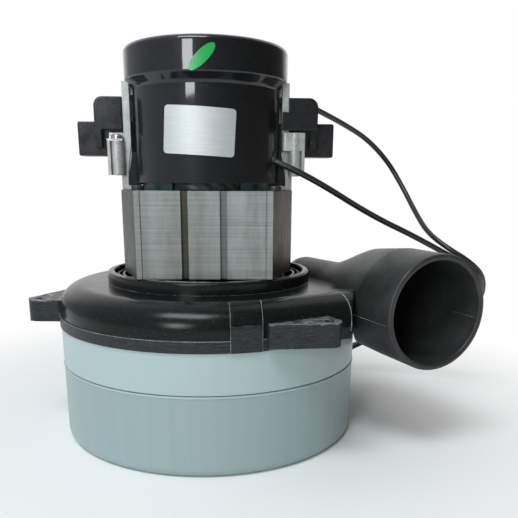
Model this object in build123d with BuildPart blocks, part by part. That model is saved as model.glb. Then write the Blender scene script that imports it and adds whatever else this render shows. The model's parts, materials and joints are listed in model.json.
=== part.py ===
"""Bypass vacuum motor: three-stage fan unit with a tangential discharge horn.

Origin at the centre of the air inlet in the underside, +Z up along the motor
shaft. -Y is the front, where the horn's mouth points. All sizes are in mm.
"""
from build123d import *
from math import cos, pi, radians, sin, tan
import os

os.makedirs("parts", exist_ok=True)

# The fan end is turned a little on the motor
case_turn = 3.0

# Fan housing shells
can_r = 72.4
sheet = 1.0
seam_z = 36.4
seam_gap = 0.4
lap_depth = 6.0
can_corner_r = 4.0
can_inner_r = 1.3
inlet_r = 22.0
inlet_lip = 3.0
shell_fit = 0.05
top_flange_wide = 8.4
can_headroom = 1.2

# Fan stages
stage_pitch = 17.5
stage_count = 3
plate_fit = 0.35
plate_gap = 0.9
plate_vanes = 10
plate_hub_clear = 2.0
return_gap = 4.0
vane_inset = 3.5
fan_tip_gap = 8.0
fan_eye_r = 21.0
fan_height = 8.0
fan_lift = 3.3
fan_sheet = 1.0
fan_blades = 7
blade_sweep = 38.0
spacer_wall = 3.0

# Nuts and washer on the shaft
nut_high = 4.0
nut_flats = 13.0
washer_high = 1.2
washer_wide = 5.0
shaft_tip = 0.6
shaft_end = 0.4

# Fan end bracket
flange_proud = 0.6
flange_thick = 5.0
deck_rise = 14.0
deck_thick = 4.7
bracket_wall = 3.0
shoulder_r = 11.0
collar_r = 49.5
collar_wall = 3.2
collar_rise = 5.4
collar_edge_r = 1.2
tray_sink = 1.7
hub_rise = 2.3
hub_wall = 3.5
rib_rings = (41.5, 44.0)
rib_ring_wall = 0.9
rib_rise = 5.4
rib_step = 1.2
rib_count = 18
bolt_boss_wall = 2.6
bolt_bite = 2.0
cut_past = 1.0

# Root of the discharge duct on the bracket
root_turn = 66.0
root_length = 33.4
root_back = (4.0, 16.0)
root_inner = (40.0, -28.0)
duct_floor = 1.4

# Mounting ears and the panel beside the front one
ear_lift = 1.1
ear_thick = 10.2
ear_proud = 0.2
ear_start = 21.5
ear_end_x = 46.6
ear_end_r = 5.2
ear_root = 6.6
ear_back = 20.6
ear_back_inset = 2.0
ear_corner_r = 1.0
ear_hole_r = 2.1
ear_count = 3
panel_left, panel_right = 6.0, 19.0
panel_proud = 1.1
panel_lift = 0.3

# Discharge horn: distances along and across its axis, seen from the shaft
horn_turn = case_turn + 17.8
horn_r = 25.4
horn_wall = 2.8
mouth_s = 86.3
spigot_length = 25.0
horn_out = 0.6
horn_lift = 12.0
neck_back_s = 22.0
neck_out = 3.0
shoulder_s = 34.5
shoulder_in = 0.8
shoulder_drop = 1.1
shoulder_step = 1.8
shoulder_turn = 33.7
scroll_in = 12.4
scroll_rise = 1.8
scroll_r = 12.5
scroll_arc = 8.0
can_clear = 0.9

# Stator
stack_seat = 0.3
stack_high = 37.4
stack_turn = -1.5
stack_x = 39.65
stack_y = 40.0
front_flat_x = 29.6
side_flat_y = 12.0
groove_in, groove_out = 6.85, 9.85
groove_depth = 1.6
line_x = 27.2
line_width = 0.7
air_gap = 0.6
pole_tip_thick = 2.4
pole_tip_half = 50.0
window_r = 32.0
window_half = 64.0
coil_half = 58.0
coil_gap = 5.0
coil_in_clear, coil_out_clear = 1.0, 1.2
coil_lift = 0.3
coil_rise, coil_drop = 8.2, 6.4
coil_edge_r = 2.0
liner_thick = 0.6
liner_fit = 0.05
liner_rise = 4.2
liner_half, liner_end_gap = 20.0, 2.0
bolt_x, bolt_y = 30.5, 24.0
bolt_r = 2.0
bolt_fit = 0.1
bolt_head_r = 2.9
bolt_head_h = 2.2
bolt_head_edge_r = 0.9

# Rotor
shaft_r = 5.0
fan_shaft_r = 4.0
core_r = 20.0
core_low_inset, core_high_inset = 0.1, 1.3
slot_count = 12
slot_width = 3.4
slot_depth = 7.5
slot_mouth = 1.0
winding_in = 1.4
winding_deep = 5.8
winding_seat = 0.2
winding_lift = 0.3
winding_hole = 1.5
winding_edge_r = 1.8
winding_rise, winding_drop = 6.5, 4.5
riser_length = 5.0
riser_in = 4.0
commutator_r = 13.0
commutator_length = 20.0
commutator_bars = 24
bar_gap, bar_depth = 0.5, 0.8
running_fit = 0.05

# Bearings: 30 mm outside at the fans, 22 mm outside at the commutator
low_bearing_r, low_bearing_h = 15.0, 9.0
top_bearing_r, top_bearing_h = 11.0, 7.0
low_race, top_race = 2.6, 2.0
low_balls, top_balls = 8, 7
cage_thick = 1.0
low_bearing_lift = 3.5
top_bearing_lift = 3.0
seal_high = 2.6
seal_gap = 0.2

# Brush gear, in distances from the shaft and from the middle of the brush
brush_lift = 12.3
brush_high, brush_deep, brush_long = 11.0, 6.3, 31.5
brush_gap = 0.1
brush_fit = 0.08
brush_travel = 6.5
tube_wall = 0.8
tube_fit = 0.02
tube_in_x = 15.5
tube_end_gap = 0.1
sleeve_high, sleeve_deep = 15.0, 12.6
sleeve_in_x = 29.0
sleeve_cap = 1.6
sleeve_edge_r = 1.2
sleeve_slot_gap = 0.2
hood_gap, hood_deep = 0.4, 12.6
hood_rise, hood_floor, leg_drop = 18.0, 4.1, 3.8
hood_half = 9.5
hood_corner_r = 4.0
hood_slot = 0.8
cheek_gap, cheek_thick = 0.3, 1.6
cheek_low_rise, cheek_in = 12.0, 2.8
leg_wall = 3.0
spring_r = 2.3
spring_wire_r = 0.35
spring_turns = 8
spring_gap = 0.1
spring_room = 6.4

# Commutator bracket
arm_gap = 0.2
arm_thick = 3.2
arm_half = 10.0
leg_inset = 0.3
leg_thick = 3.0
leg_rise, leg_slope = 7.2, 2.25
leg_bend_low, leg_bend_high = 7.7, 21.2
foot_thick = 1.8
foot_in_x = 26.5
foot_back = 27.5
foot_clear = 0.3
foot_corner_r = 2.0
bridge_lift = 1.2
bridge_thick = 5.5
bridge_half = 7.5
seat_wall = 3.0
boss_in_y, boss_out_y = 7.0, 13.6
boss_deep = 7.1
boss_r = 3.1
boss_web = 2.4
boss_flange = 1.4
block_high = 8.0
boss_corner_r = 1.5
boss_drop = 16.0
screw_boss_drop = 1.1
block_boss_rise = 3.0
clamp_gap = 0.2
clamp_thick = 0.9
clamp_tab = 0.6
clamp_tab_in = 0.1
clamp_tab_high = 3.8
clamp_screw_out, clamp_screw_y = 2.8, 11.0
clamp_screw_r = 1.5
clamp_screw_fit = 0.1
clamp_screw_long = 9.0
clamp_screw_room = 0.1
clamp_head_r, clamp_head_h = 2.6, 1.9
clamp_head_edge_r = 1.0

# Cooling fan and its cover
skirt_gap = 1.7
cover_wall = 1.8
skirt_lift = 3.2
neck_drop = 2.7
neck_high = 3.2
neck_overlap = 0.6
neck_in_r, neck_out_r = 2.0, 1.0
band_out = 3.2
band_high = 14.0
cover_edge_r, cover_inner_r = 2.4, 1.2
cover_slot_gap = 0.3
cover_slot_in = 20.0
vent_count = 20
vent_in_r, vent_out_r = 17.0, 31.0
vent_width = 2.6
cool_fan_gap = 2.2
cool_fan_lift = 1.9
cool_fan_high = 8.4
cool_fan_sheet = 1.2
cool_hub_r, cool_hub_high = 9.0, 5.0
cool_blades = 9
cool_blade_r, cool_blade_long, cool_blade_sweep = 22.5, 20.0, 25.0
cool_spacer_wall = 2.4

# Label and sticker
label_wide, label_high, label_r = 29.8, 19.5, 1.5
label_x, label_rise, label_turn = -3.3, 21.6, -3.3
sticker_wide, sticker_high = 15.2, 4.8
sticker_x, sticker_drop, sticker_turn = -1.4, 9.0, 37.0
film = 0.15

# Leads
lead_r = 1.4
grommet_wall = 0.6
grommet_length = 5.0
terminal_long, terminal_wide, terminal_high = 18.0, 7.4, 5.0
terminal_edge_r = 1.2
route_a = [
    (30.9, -16.2, 129.8), (37.6, -17.9, 126.9), (46.8, -18.4, 122.6), (58.0, -14.6, 116.8),
    (71.5, -6.0, 109.6), (85.6, 1.2, 102.6), (102.4, 5.3, 95.2), (120.7, 8.8, 86.2),
    (137.1, 11.7, 78.0), (148.3, 17.8, 69.0), (151.1, 30.0, 54.0), (141.9, 44.5, 41.0),
    (123.2, 56.5, 32.0), (101.7, 65.4, 26.0), (83.3, 72.5, 14.5), (67.0, 78.1, 5.0),
    (48.7, 82.7, 1.6), (31.5, 86.8, 2.5), (13.4, 87.8, 2.5),
]
route_b = [
    (32.4, 16.3, 157.0), (38.6, 20.2, 159.6), (46.7, 25.9, 160.4), (58.3, 34.6, 156.6),
    (73.6, 47.9, 151.6), (89.9, 60.8, 144.8), (104.1, 67.0, 133.0), (112.9, 62.0, 118.0),
    (117.1, 48.2, 104.5), (120.0, 32.3, 94.0), (128.1, 21.2, 86.6), (141.2, 18.9, 79.0),
    (151.9, 24.5, 69.5), (156.3, 37.2, 54.0), (147.4, 52.8, 40.5), (128.3, 65.3, 31.0),
    (105.7, 74.6, 25.0), (86.8, 82.2, 14.0), (70.0, 88.3, 5.0), (51.2, 93.8, 1.6),
    (32.9, 98.4, 2.5), (14.8, 99.9, 2.5),
]

# Radii that follow from the fits
lap_r = can_r - sheet - shell_fit
shell_in_r = lap_r - sheet
plate_r = shell_in_r - plate_fit
return_r = plate_r - return_gap
fan_r = plate_r - sheet - fan_tip_gap
spacer_r = fan_shaft_r + spacer_wall
flange_r = can_r + flange_proud
hub_r = low_bearing_r + hub_wall
bore_r = core_r + air_gap
pole_tip_r = bore_r + pole_tip_thick
coil_in_r = pole_tip_r + coil_in_clear
coil_out_r = window_r - coil_out_clear
skirt_r = coil_out_r + skirt_gap + cover_wall
band_r = skirt_r + band_out
winding_r = core_r - winding_in
cool_fan_r = band_r - cover_wall - cool_fan_gap

# Heights, from the can's top to the cover's
upper_top = sheet + stage_count * stage_pitch + can_headroom
flange_top = upper_top + flange_thick
deck_top = flange_top + deck_rise
collar_top = deck_top + collar_rise
tray_top = deck_top - tray_sink
hub_bottom = upper_top + hub_rise
low_bearing_z = hub_bottom + low_bearing_lift
low_bearing_top = low_bearing_z + low_bearing_h
stack_bottom = collar_top + stack_seat
stack_top = stack_bottom + stack_high
coil_top = stack_top + coil_rise
coil_bottom = stack_bottom - coil_drop
core_bottom = stack_bottom + core_low_inset
core_top = stack_top - core_high_inset
winding_top = core_top + winding_rise
winding_bottom = core_bottom - winding_drop
commutator_bottom = winding_top + riser_length
commutator_top = commutator_bottom + commutator_length
top_bearing_z = commutator_top + top_bearing_lift
top_bearing_top = top_bearing_z + top_bearing_h
bridge_bottom = top_bearing_top + bridge_lift
arm_top = bridge_bottom + bridge_thick
cool_fan_z = arm_top + cool_fan_lift
cool_nut_z = cool_fan_z + cool_hub_high
skirt_bottom = stack_top + skirt_lift
neck_bottom = arm_top - neck_drop
neck_top = neck_bottom + neck_high
cover_top = neck_top + band_high

# Brush gear in place
brush_z = commutator_bottom + brush_lift
brush_in_x = commutator_r + brush_gap
brush_out_x = brush_in_x + brush_long
tube_high = brush_high + 2 * brush_fit + 2 * tube_wall
tube_deep = brush_deep + 2 * brush_fit + 2 * tube_wall
tube_low, tube_high_z = brush_z - tube_high / 2, brush_z + tube_high / 2
tube_out_x = brush_out_x + brush_travel + spring_room
sleeve_out_x = tube_out_x + tube_end_gap + sleeve_cap
sleeve_low, sleeve_top = brush_z - sleeve_high / 2, brush_z + sleeve_high / 2
arm_in_x = skirt_r + arm_gap
arm_out_x = arm_in_x + arm_thick
hood_in_x = arm_out_x + hood_gap
hood_out_x = hood_in_x + hood_deep
boss_out_x = arm_out_x + boss_deep
clamp_screw_x = arm_out_x + clamp_screw_out
leg_out_x = stack_x - leg_inset
leg_in_x = leg_out_x - leg_thick
leg_turn_z = stack_top + leg_rise + leg_slope * abs(leg_out_x - arm_out_x)
screw_boss_top = brush_z - screw_boss_drop
block_boss_top = brush_z + block_boss_rise
bolt_places = [(x * bolt_x, y * bolt_y) for x in (-1, 1) for y in (-1, 1)]
standing = (Align.CENTER, Align.CENTER, Align.MIN)
hanging = (Align.CENTER, Align.CENTER, Align.MAX)


def keep(builder, name):
    """Labels a finished piece and writes it."""
    builder.part.label = name
    export_step(builder.part, f"parts/{name}.step")


def ring(points, rounds=()):
    """Turns an outline of (radius, height) points about the shaft."""
    with BuildPart() as turned:
        with BuildSketch(Plane.XZ) as outline:
            with BuildLine():
                Polyline(*points, close=True)
            make_face()
            for r, z, radius in rounds:
                fillet(outline.vertices().sort_by_distance(Vector(r, z, 0))[0], radius)
        revolve(axis=Axis.Z)
    return turned.part


def tube_between(r_in, r_out, z0, z1):
    """A plain ring about the shaft."""
    return ring([(r_in, z0), (r_out, z0), (r_out, z1), (r_in, z1)])


def sector(r_in, r_out, start, stop, z0, z1):
    """A ring about the shaft between two angles in degrees."""
    def at(r, angle):
        return (r * cos(radians(angle)), r * sin(radians(angle)))

    middle = (start + stop) / 2
    with BuildPart() as piece:
        with BuildSketch(Plane.XY.offset(z0)):
            with BuildLine():
                ThreePointArc(at(r_out, start), at(r_out, middle), at(r_out, stop))
                Line(at(r_out, stop), at(r_in, stop))
                ThreePointArc(at(r_in, stop), at(r_in, middle), at(r_in, start))
                Line(at(r_in, start), at(r_out, start))
            make_face()
        extrude(amount=z1 - z0)
    return piece.part


# Lower shell: a pressed pan with the air inlet in its floor
with BuildPart() as lower_shell:
    add(ring([(inlet_r, 0), (can_r, 0), (can_r, seam_z), (can_r - sheet, seam_z),
              (can_r - sheet, sheet), (inlet_r + sheet, sheet), (inlet_r + sheet, inlet_lip),
              (inlet_r, inlet_lip)],
             [(can_r, 0, can_corner_r), (can_r - sheet, sheet, can_inner_r)]))
keep(lower_shell, "lower_shell")

# Upper shell: a ring that laps inside the lower one and carries the bracket
top_flange_r = can_r - top_flange_wide
with BuildPart() as upper_shell:
    add(ring([(can_r, seam_z + seam_gap), (can_r, upper_top), (top_flange_r, upper_top),
              (top_flange_r, upper_top - sheet), (shell_in_r, upper_top - sheet),
              (shell_in_r, seam_z - lap_depth), (lap_r, seam_z - lap_depth),
              (lap_r, seam_z + seam_gap)]))
keep(upper_shell, "upper_shell")


def stage_floor(stage):
    """Height of the plate that a fan stage stands on."""
    return sheet + stage * stage_pitch


def fan_floor(stage):
    """Height of a fan's eye plate."""
    return stage_floor(stage) + fan_lift


def fan_back(stage):
    """Height of the top of a fan's back plate."""
    return fan_floor(stage) + fan_height


# Stage plates: a return-vane disc hung under the next fan's inlet plate
for stage in range(stage_count - 1):
    disc_bottom = fan_back(stage) + plate_gap
    inlet_top = stage_floor(stage + 1)
    with BuildPart() as stage_plate:
        add(tube_between(spacer_r + plate_hub_clear, return_r, disc_bottom, disc_bottom + sheet))
        add(tube_between(fan_eye_r, plate_r, inlet_top - sheet, inlet_top))
        add(tube_between(plate_r - sheet, plate_r, stage_floor(stage), inlet_top))
        with BuildSketch(Plane.XY.offset(disc_bottom)):
            with PolarLocations((return_r + fan_eye_r) / 2, plate_vanes):
                Rectangle(return_r - fan_eye_r - 2 * vane_inset, sheet, rotation=-blade_sweep)
        extrude(amount=inlet_top - disc_bottom)
    keep(stage_plate, f"stage_plate_{stage + 1}")

# Rotating fans: eye plate, blades and back plate
for stage in range(stage_count):
    low, high = fan_floor(stage), fan_back(stage)
    with BuildPart() as fan:
        add(tube_between(fan_eye_r, fan_r, low, low + fan_sheet))
        add(tube_between(fan_shaft_r, fan_r, high - fan_sheet, high))
        with BuildSketch(Plane.XY.offset(low)):
            with PolarLocations((fan_r + fan_eye_r) / 2, fan_blades):
                Rectangle(fan_r - fan_eye_r, fan_sheet, rotation=blade_sweep)
        extrude(amount=high - low)
    keep(fan, f"fan_{stage + 1}")

# Spacers between the fans, and the long one up to the bearing
with BuildPart() as fan_spacers:
    for stage in range(stage_count - 1):
        add(tube_between(fan_shaft_r, spacer_r, fan_back(stage), fan_back(stage + 1) - fan_sheet))
    add(tube_between(fan_shaft_r, spacer_r, fan_back(stage_count - 1), low_bearing_z))
keep(fan_spacers, "fan_spacers")

# Nut and washer under the first fan
washer_bottom = fan_back(0) - fan_sheet - washer_high
with BuildPart() as fan_washer:
    add(tube_between(fan_shaft_r, fan_shaft_r + washer_wide, washer_bottom,
                     washer_bottom + washer_high))
keep(fan_washer, "fan_washer")


def hex_nut(bottom, height, bore):
    """A plain hexagon nut about the shaft."""
    with BuildPart() as nut:
        with BuildSketch(Plane.XY.offset(bottom)):
            RegularPolygon(nut_flats / 2, 6, major_radius=False)
            Circle(bore, mode=Mode.SUBTRACT)
        extrude(amount=height)
    return nut


nut_bottom = washer_bottom - nut_high
keep(hex_nut(nut_bottom, nut_high, fan_shaft_r), "shaft_nut")

# Shaft: fan journal, main diameter, and the commutator-end journal
shaft_bottom = nut_bottom - shaft_tip
shaft_top = cool_nut_z + nut_high + shaft_end
with BuildPart() as shaft:
    add(ring([(0, shaft_bottom), (fan_shaft_r, shaft_bottom), (fan_shaft_r, low_bearing_z),
              (shaft_r, low_bearing_z), (shaft_r, top_bearing_z), (fan_shaft_r, top_bearing_z),
              (fan_shaft_r, shaft_top), (0, shaft_top)]))
keep(shaft, "shaft")


# Bearings: inner race, balls and outer race
def bearing(name, outer_r, bore, race, height, bottom, balls):
    """Writes the three parts of a ball bearing."""
    inner_r = bore + race
    outer_in_r = outer_r - race
    middle_r = (inner_r + outer_in_r) / 2
    ball_r = (outer_in_r - inner_r) / 2 - running_fit
    with BuildPart() as inner_race:
        add(tube_between(bore, inner_r, bottom, bottom + height))
    keep(inner_race, f"{name}_bearing_inner_race")
    with BuildPart() as outer_race:
        add(tube_between(outer_in_r, outer_r, bottom, bottom + height))
    keep(outer_race, f"{name}_bearing_outer_race")
    with BuildPart() as ball_set:
        with BuildSketch(Plane.XY.offset(bottom + height / 2)):
            Circle(middle_r + cage_thick / 2)
            Circle(middle_r - cage_thick / 2, mode=Mode.SUBTRACT)
        extrude(amount=cage_thick / 2, both=True)
        with Locations(Plane.XY.offset(bottom + height / 2)):
            with PolarLocations(middle_r, balls):
                Sphere(ball_r)
    keep(ball_set, f"{name}_bearing_balls")


bearing("lower", low_bearing_r, shaft_r, low_race, low_bearing_h, low_bearing_z, low_balls)
bearing("upper", top_bearing_r, fan_shaft_r, top_race, top_bearing_h, top_bearing_z, top_balls)

# Rubber seal round the spacer under the lower bearing
seal_top = low_bearing_z - seal_gap
with BuildPart() as air_seal:
    add(tube_between(spacer_r + running_fit, low_bearing_r, seal_top - seal_high, seal_top))
keep(air_seal, "air_seal")

# Duct frame: x runs across the horn's axis, z along it towards the mouth
across = Vector(cos(radians(horn_turn)), sin(radians(horn_turn)), 0)
along = Vector(sin(radians(horn_turn)), -cos(radians(horn_turn)), 0)


def duct_plane(s):
    """The plane square to the horn's axis at a distance along it."""
    return Plane(origin=along * s, x_dir=across, z_dir=along)


horn_p = can_r + horn_out
horn_z = upper_top + horn_lift
scroll_p = can_r - scroll_in
scroll_z = horn_z + scroll_rise


def horn_form(inset):
    """The horn, its neck and its scroll, drawn in by a wall where hollow."""
    shoulder = Plane(
        origin=along * shoulder_s + across * (horn_p - shoulder_in)
        + Vector(0, 0, horn_z - shoulder_drop),
        x_dir=across * cos(radians(shoulder_turn)) - along * sin(radians(shoulder_turn)),
        z_dir=along * cos(radians(shoulder_turn)) + across * sin(radians(shoulder_turn)))
    high = horn_r - shoulder_step - inset
    spigot_back = mouth_s - spigot_length
    sections = [
        (duct_plane(0), scroll_p, scroll_z, scroll_r - inset, scroll_r - inset),
        (duct_plane(neck_back_s), scroll_p + neck_out, scroll_z, scroll_r - inset, scroll_r - inset),
        (shoulder, 0, 0, high / cos(radians(shoulder_turn)), high),
        (duct_plane(spigot_back), horn_p, horn_z, horn_r - inset, horn_r - inset),
    ]
    with BuildPart() as form:
        for first, second in zip(sections[:-1], sections[1:]):
            for plane, x, y, half_wide, half_high in (first, second):
                with BuildSketch(plane):
                    with Locations((x, y)):
                        Ellipse(half_wide, half_high)
            loft(ruled=True)
        with BuildSketch(duct_plane(spigot_back)):
            with Locations((horn_p, horn_z)):
                Circle(horn_r - inset)
        extrude(amount=spigot_length)
        with BuildSketch(duct_plane(0)):
            with Locations((scroll_p, scroll_z)):
                Circle(scroll_r - inset)
        revolve(axis=Axis.Z, revolution_arc=scroll_arc)
        end_angle = radians(horn_turn + scroll_arc)
        with Locations((scroll_p * cos(end_angle), scroll_p * sin(end_angle), scroll_z)):
            Sphere(scroll_r - inset)
    return form.part


# Root of the discharge duct: a straight run of the deck's shoulder, rounded at its end
root_angle = case_turn - root_turn
root_start = Vector(can_r * cos(radians(root_angle)), can_r * sin(radians(root_angle)))
root_way = Vector(-sin(radians(root_angle)), cos(radians(root_angle)))
root_end = root_start + root_way * root_length
with BuildPart() as duct_root:
    with BuildSketch(Plane.XY.offset(upper_top)):
        with BuildLine():
            Polyline((root_start.X, root_start.Y), (root_end.X, root_end.Y),
                     (root_end.X + root_back[0], root_end.Y + root_back[1]), root_inner,
                     close=True)
        make_face()
    extrude(amount=deck_top - upper_top)
    front_face = duct_root.faces().filter_by(lambda face: abs(face.normal_at().Z) < 0.5).sort_by(
        lambda face: face.normal_at().dot(Vector(root_start.X, root_start.Y, 0)))[-1]
    fillet(front_face.edges().sort_by(Axis.Z)[-1], shoulder_r)

bracket_outline = [(flange_r, upper_top), (flange_r, flange_top), (can_r, flange_top),
                   (can_r, deck_top), (collar_r, deck_top)]
with BuildPart() as bracket_space:
    add(ring([(0, upper_top)] + bracket_outline + [(collar_r, collar_top), (0, collar_top)],
             [(can_r, deck_top, shoulder_r), (collar_r, collar_top, collar_edge_r)]))
    add(duct_root.part)

with BuildPart() as can_space:
    Cylinder(flange_r + can_clear, flange_top + can_clear, align=standing)

# Discharge horn: a moulded tube and scroll that sits over the bracket's deck
horn_outer = horn_form(0)
horn_void = horn_form(horn_wall)
with BuildPart() as can_liner:
    Cylinder(flange_r + can_clear + horn_wall, flange_top + can_clear + horn_wall,
             align=standing)
with BuildPart() as air_way:
    add(horn_void)
    with BuildSketch(duct_plane(mouth_s)):
        with Locations((horn_p, horn_z)):
            Circle(horn_r - horn_wall)
    extrude(amount=horn_wall)
with BuildPart() as outside_way:
    add(air_way.part)
    add(can_liner.part, mode=Mode.SUBTRACT)
with BuildPart() as discharge_horn:
    add(horn_outer)
    add(bracket_space.part, mode=Mode.SUBTRACT)
    add(can_space.part, mode=Mode.SUBTRACT)
    add(outside_way.part, mode=Mode.SUBTRACT)
print("horn solids", [round(s.volume) for s in discharge_horn.part.solids()])
keep(discharge_horn, "discharge_horn")

# Panel: a pad that stands proud of the flange, the deck's wall and its shoulder
panel_r, panel_top = can_r + panel_proud, deck_top + panel_lift
with BuildPart() as panel_pad:
    add(ring([(collar_r, upper_top), (panel_r, upper_top), (panel_r, panel_top),
              (collar_r, panel_top)], [(panel_r, panel_top, shoulder_r)]))
    with BuildSketch(Plane.XY.offset(upper_top).rotated((0, 0, case_turn))):
        with Locations(((panel_left + panel_right) / 2, -panel_r)):
            Rectangle(panel_right - panel_left, 2 * shoulder_r)
    extrude(amount=panel_top - upper_top, mode=Mode.INTERSECT)

# Fan end bracket: deck, collar, bearing hub, ears and the root of the duct
ear_bottom = upper_top + ear_lift
ear_front = can_r + ear_proud
with BuildPart() as fan_end_bracket:
    add(bracket_space.part)
    with BuildSketch(Plane.XY.offset(ear_bottom)):
        with PolarLocations(0, ear_count, start_angle=case_turn):
            with BuildSketch(mode=Mode.PRIVATE) as ear_outline:
                with Locations((ear_end_x, -ear_front + ear_end_r)):
                    Circle(ear_end_r)
                with Locations((ear_start, -ear_front)):
                    Rectangle(2 * ear_corner_r, 2 * ear_corner_r, align=(Align.MIN, Align.MIN))
                with Locations((ear_start, ear_root - ear_front),
                               (ear_end_x - ear_back_inset, ear_back - ear_front)):
                    Circle(ear_corner_r)
                make_hull()
            add(ear_outline.sketch)
    extrude(amount=ear_thick)
    add(panel_pad.part)
    add(ring([(hub_r, upper_top - cut_past), (can_r - bracket_wall, upper_top - cut_past),
              (can_r - bracket_wall, deck_top - deck_thick), (hub_r, deck_top - deck_thick)],
             [(can_r - bracket_wall, deck_top - deck_thick, shoulder_r - bracket_wall)]),
        mode=Mode.SUBTRACT)
    add(tube_between(0, hub_r + cut_past, upper_top - cut_past, hub_bottom), mode=Mode.SUBTRACT)
    add(ring([(0, hub_bottom), (low_bearing_r, hub_bottom), (low_bearing_r, low_bearing_top),
              (low_bearing_r - low_race, low_bearing_top), (low_bearing_r - low_race, tray_top),
              (collar_r - collar_wall, tray_top), (collar_r - collar_wall, collar_top + cut_past),
              (0, collar_top + cut_past)]), mode=Mode.SUBTRACT)
    duct_room = tube_between(0, can_r + scroll_r, flange_top + duct_floor, collar_top + scroll_r)
    add(air_way.part.intersect(duct_room), mode=Mode.SUBTRACT)
    for rib_r in rib_rings:
        add(tube_between(rib_r, rib_r + rib_ring_wall, tray_top, tray_top + rib_rise))
    with BuildSketch(Plane.XY.offset(tray_top)):
        with PolarLocations((rib_rings[0] + collar_r - collar_wall) / 2, rib_count):
            Rectangle(collar_r - collar_wall - rib_rings[0] + rib_ring_wall, rib_ring_wall)
    extrude(amount=rib_rise - rib_step)
    with BuildSketch(Plane.XY.offset(tray_top)):
        with Locations(*bolt_places):
            Circle(bolt_r + bolt_boss_wall)
    extrude(amount=stack_bottom - tray_top)
    with BuildSketch(Plane.XY.offset(tray_top - bolt_bite)):
        with Locations(*bolt_places):
            Circle(bolt_r)
    extrude(amount=stack_bottom - tray_top + bolt_bite, mode=Mode.SUBTRACT)
    with Locations(Plane.XY.offset(ear_bottom)):
        with PolarLocations(0, ear_count, start_angle=case_turn):
            with Locations((ear_end_x, -ear_front + ear_end_r, 0)):
                Cylinder(ear_hole_r, ear_thick, mode=Mode.SUBTRACT, align=standing)
print("bracket solids", [round(s.volume) for s in fan_end_bracket.part.solids()])
keep(fan_end_bracket, "fan_end_bracket")


# Stator stack with two poles, front and back
def stack_outline():
    """Half the outline of a lamination, from front middle to back middle."""
    return [(0, -stack_y), (groove_in, -stack_y), (groove_in, -stack_y + groove_depth),
            (groove_out, -stack_y + groove_depth), (groove_out, -stack_y),
            (line_x - line_width, -stack_y), (line_x - line_width, -stack_y + line_width),
            (line_x, -stack_y + line_width), (line_x, -stack_y),
            (front_flat_x, -stack_y), (stack_x, -side_flat_y)]


with BuildPart() as stator_core:
    with BuildSketch(Plane.XY.offset(stack_bottom).rotated((0, 0, stack_turn))):
        quarter = stack_outline()
        right = quarter + [(x, -y) for x, y in reversed(quarter)]
        with BuildLine():
            Polyline(*right, *[(-x, y) for x, y in reversed(right[1:-1])], close=True)
        make_face()
    extrude(amount=stack_top - stack_bottom)
    with BuildSketch(Plane.XY.offset(stack_bottom)):
        Circle(bore_r)
        with Locations(*bolt_places):
            Circle(bolt_r + running_fit)
    extrude(amount=stack_top - stack_bottom, mode=Mode.SUBTRACT)
    for side in (0, 180):
        add(sector(core_r, pole_tip_r, side - pole_tip_half, side + pole_tip_half,
                   stack_bottom, stack_top), mode=Mode.SUBTRACT)
        add(sector(pole_tip_r, window_r, side - window_half, side + window_half,
                   stack_bottom, stack_top), mode=Mode.SUBTRACT)
keep(stator_core, "stator_core")

# Field coils: two legs through the windows and the end turns over the pole
for name, middle in (("front", -90), ("rear", 90)):
    near = 90 - coil_half
    far = 90 - coil_gap
    with BuildPart() as coil:
        for side in (-1, 1):
            ends = sorted((middle + side * near, middle + side * far))
            add(sector(coil_in_r, coil_out_r, ends[0], ends[1], coil_bottom, coil_top))
        for low, high in ((coil_bottom, stack_bottom - coil_lift), (stack_top + coil_lift, coil_top)):
            add(sector(coil_in_r, coil_out_r, middle - far, middle + far, low, high))
        fillet(coil.faces().sort_by(Axis.Z)[-1].edges(), coil_edge_r)
    keep(coil, f"field_coil_{name}")

# Slot liners: film standing a little above the stack on each side
with BuildPart() as slot_liners:
    liner_out_r = window_r - liner_fit
    liner_middle = window_half - liner_end_gap - liner_half
    for middle in (-liner_middle, liner_middle, 180 - liner_middle, 180 + liner_middle):
        add(sector(liner_out_r - liner_thick, liner_out_r, middle - liner_half,
                   middle + liner_half, coil_bottom, stack_top + liner_rise))
keep(slot_liners, "slot_liners")

# Through bolts: pan heads on the stack in front and on the bracket feet behind
with BuildPart() as through_bolts:
    for x, y in bolt_places:
        head_seat = stack_top if y < 0 else stack_top + foot_thick
        with Locations((x, y, tray_top)):
            Cylinder(bolt_r - bolt_fit, head_seat - tray_top, align=standing)
        with Locations((x, y, head_seat)):
            Cylinder(bolt_head_r, bolt_head_h, align=standing)
        head_rims = through_bolts.edges().filter_by(GeomType.CIRCLE)
        top_rims = head_rims.filter_by_position(Axis.Z, head_seat + bolt_head_h, head_seat + bolt_head_h)
        fillet([rim for rim in top_rims if (rim.arc_center - Vector(x, y, rim.arc_center.Z)).length < bolt_r],
               bolt_head_edge_r)
keep(through_bolts, "through_bolts")

# Armature: slotted core, winding with end turns and risers, commutator
with BuildPart() as armature_core:
    with BuildSketch(Plane.XY.offset(core_bottom)):
        Circle(core_r)
        Circle(shaft_r, mode=Mode.SUBTRACT)
        with PolarLocations(core_r - slot_depth / 2 + slot_mouth, slot_count):
            Rectangle(slot_depth + 2 * slot_mouth, slot_width, mode=Mode.SUBTRACT)
    extrude(amount=core_top - core_bottom)
keep(armature_core, "armature_core")

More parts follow.
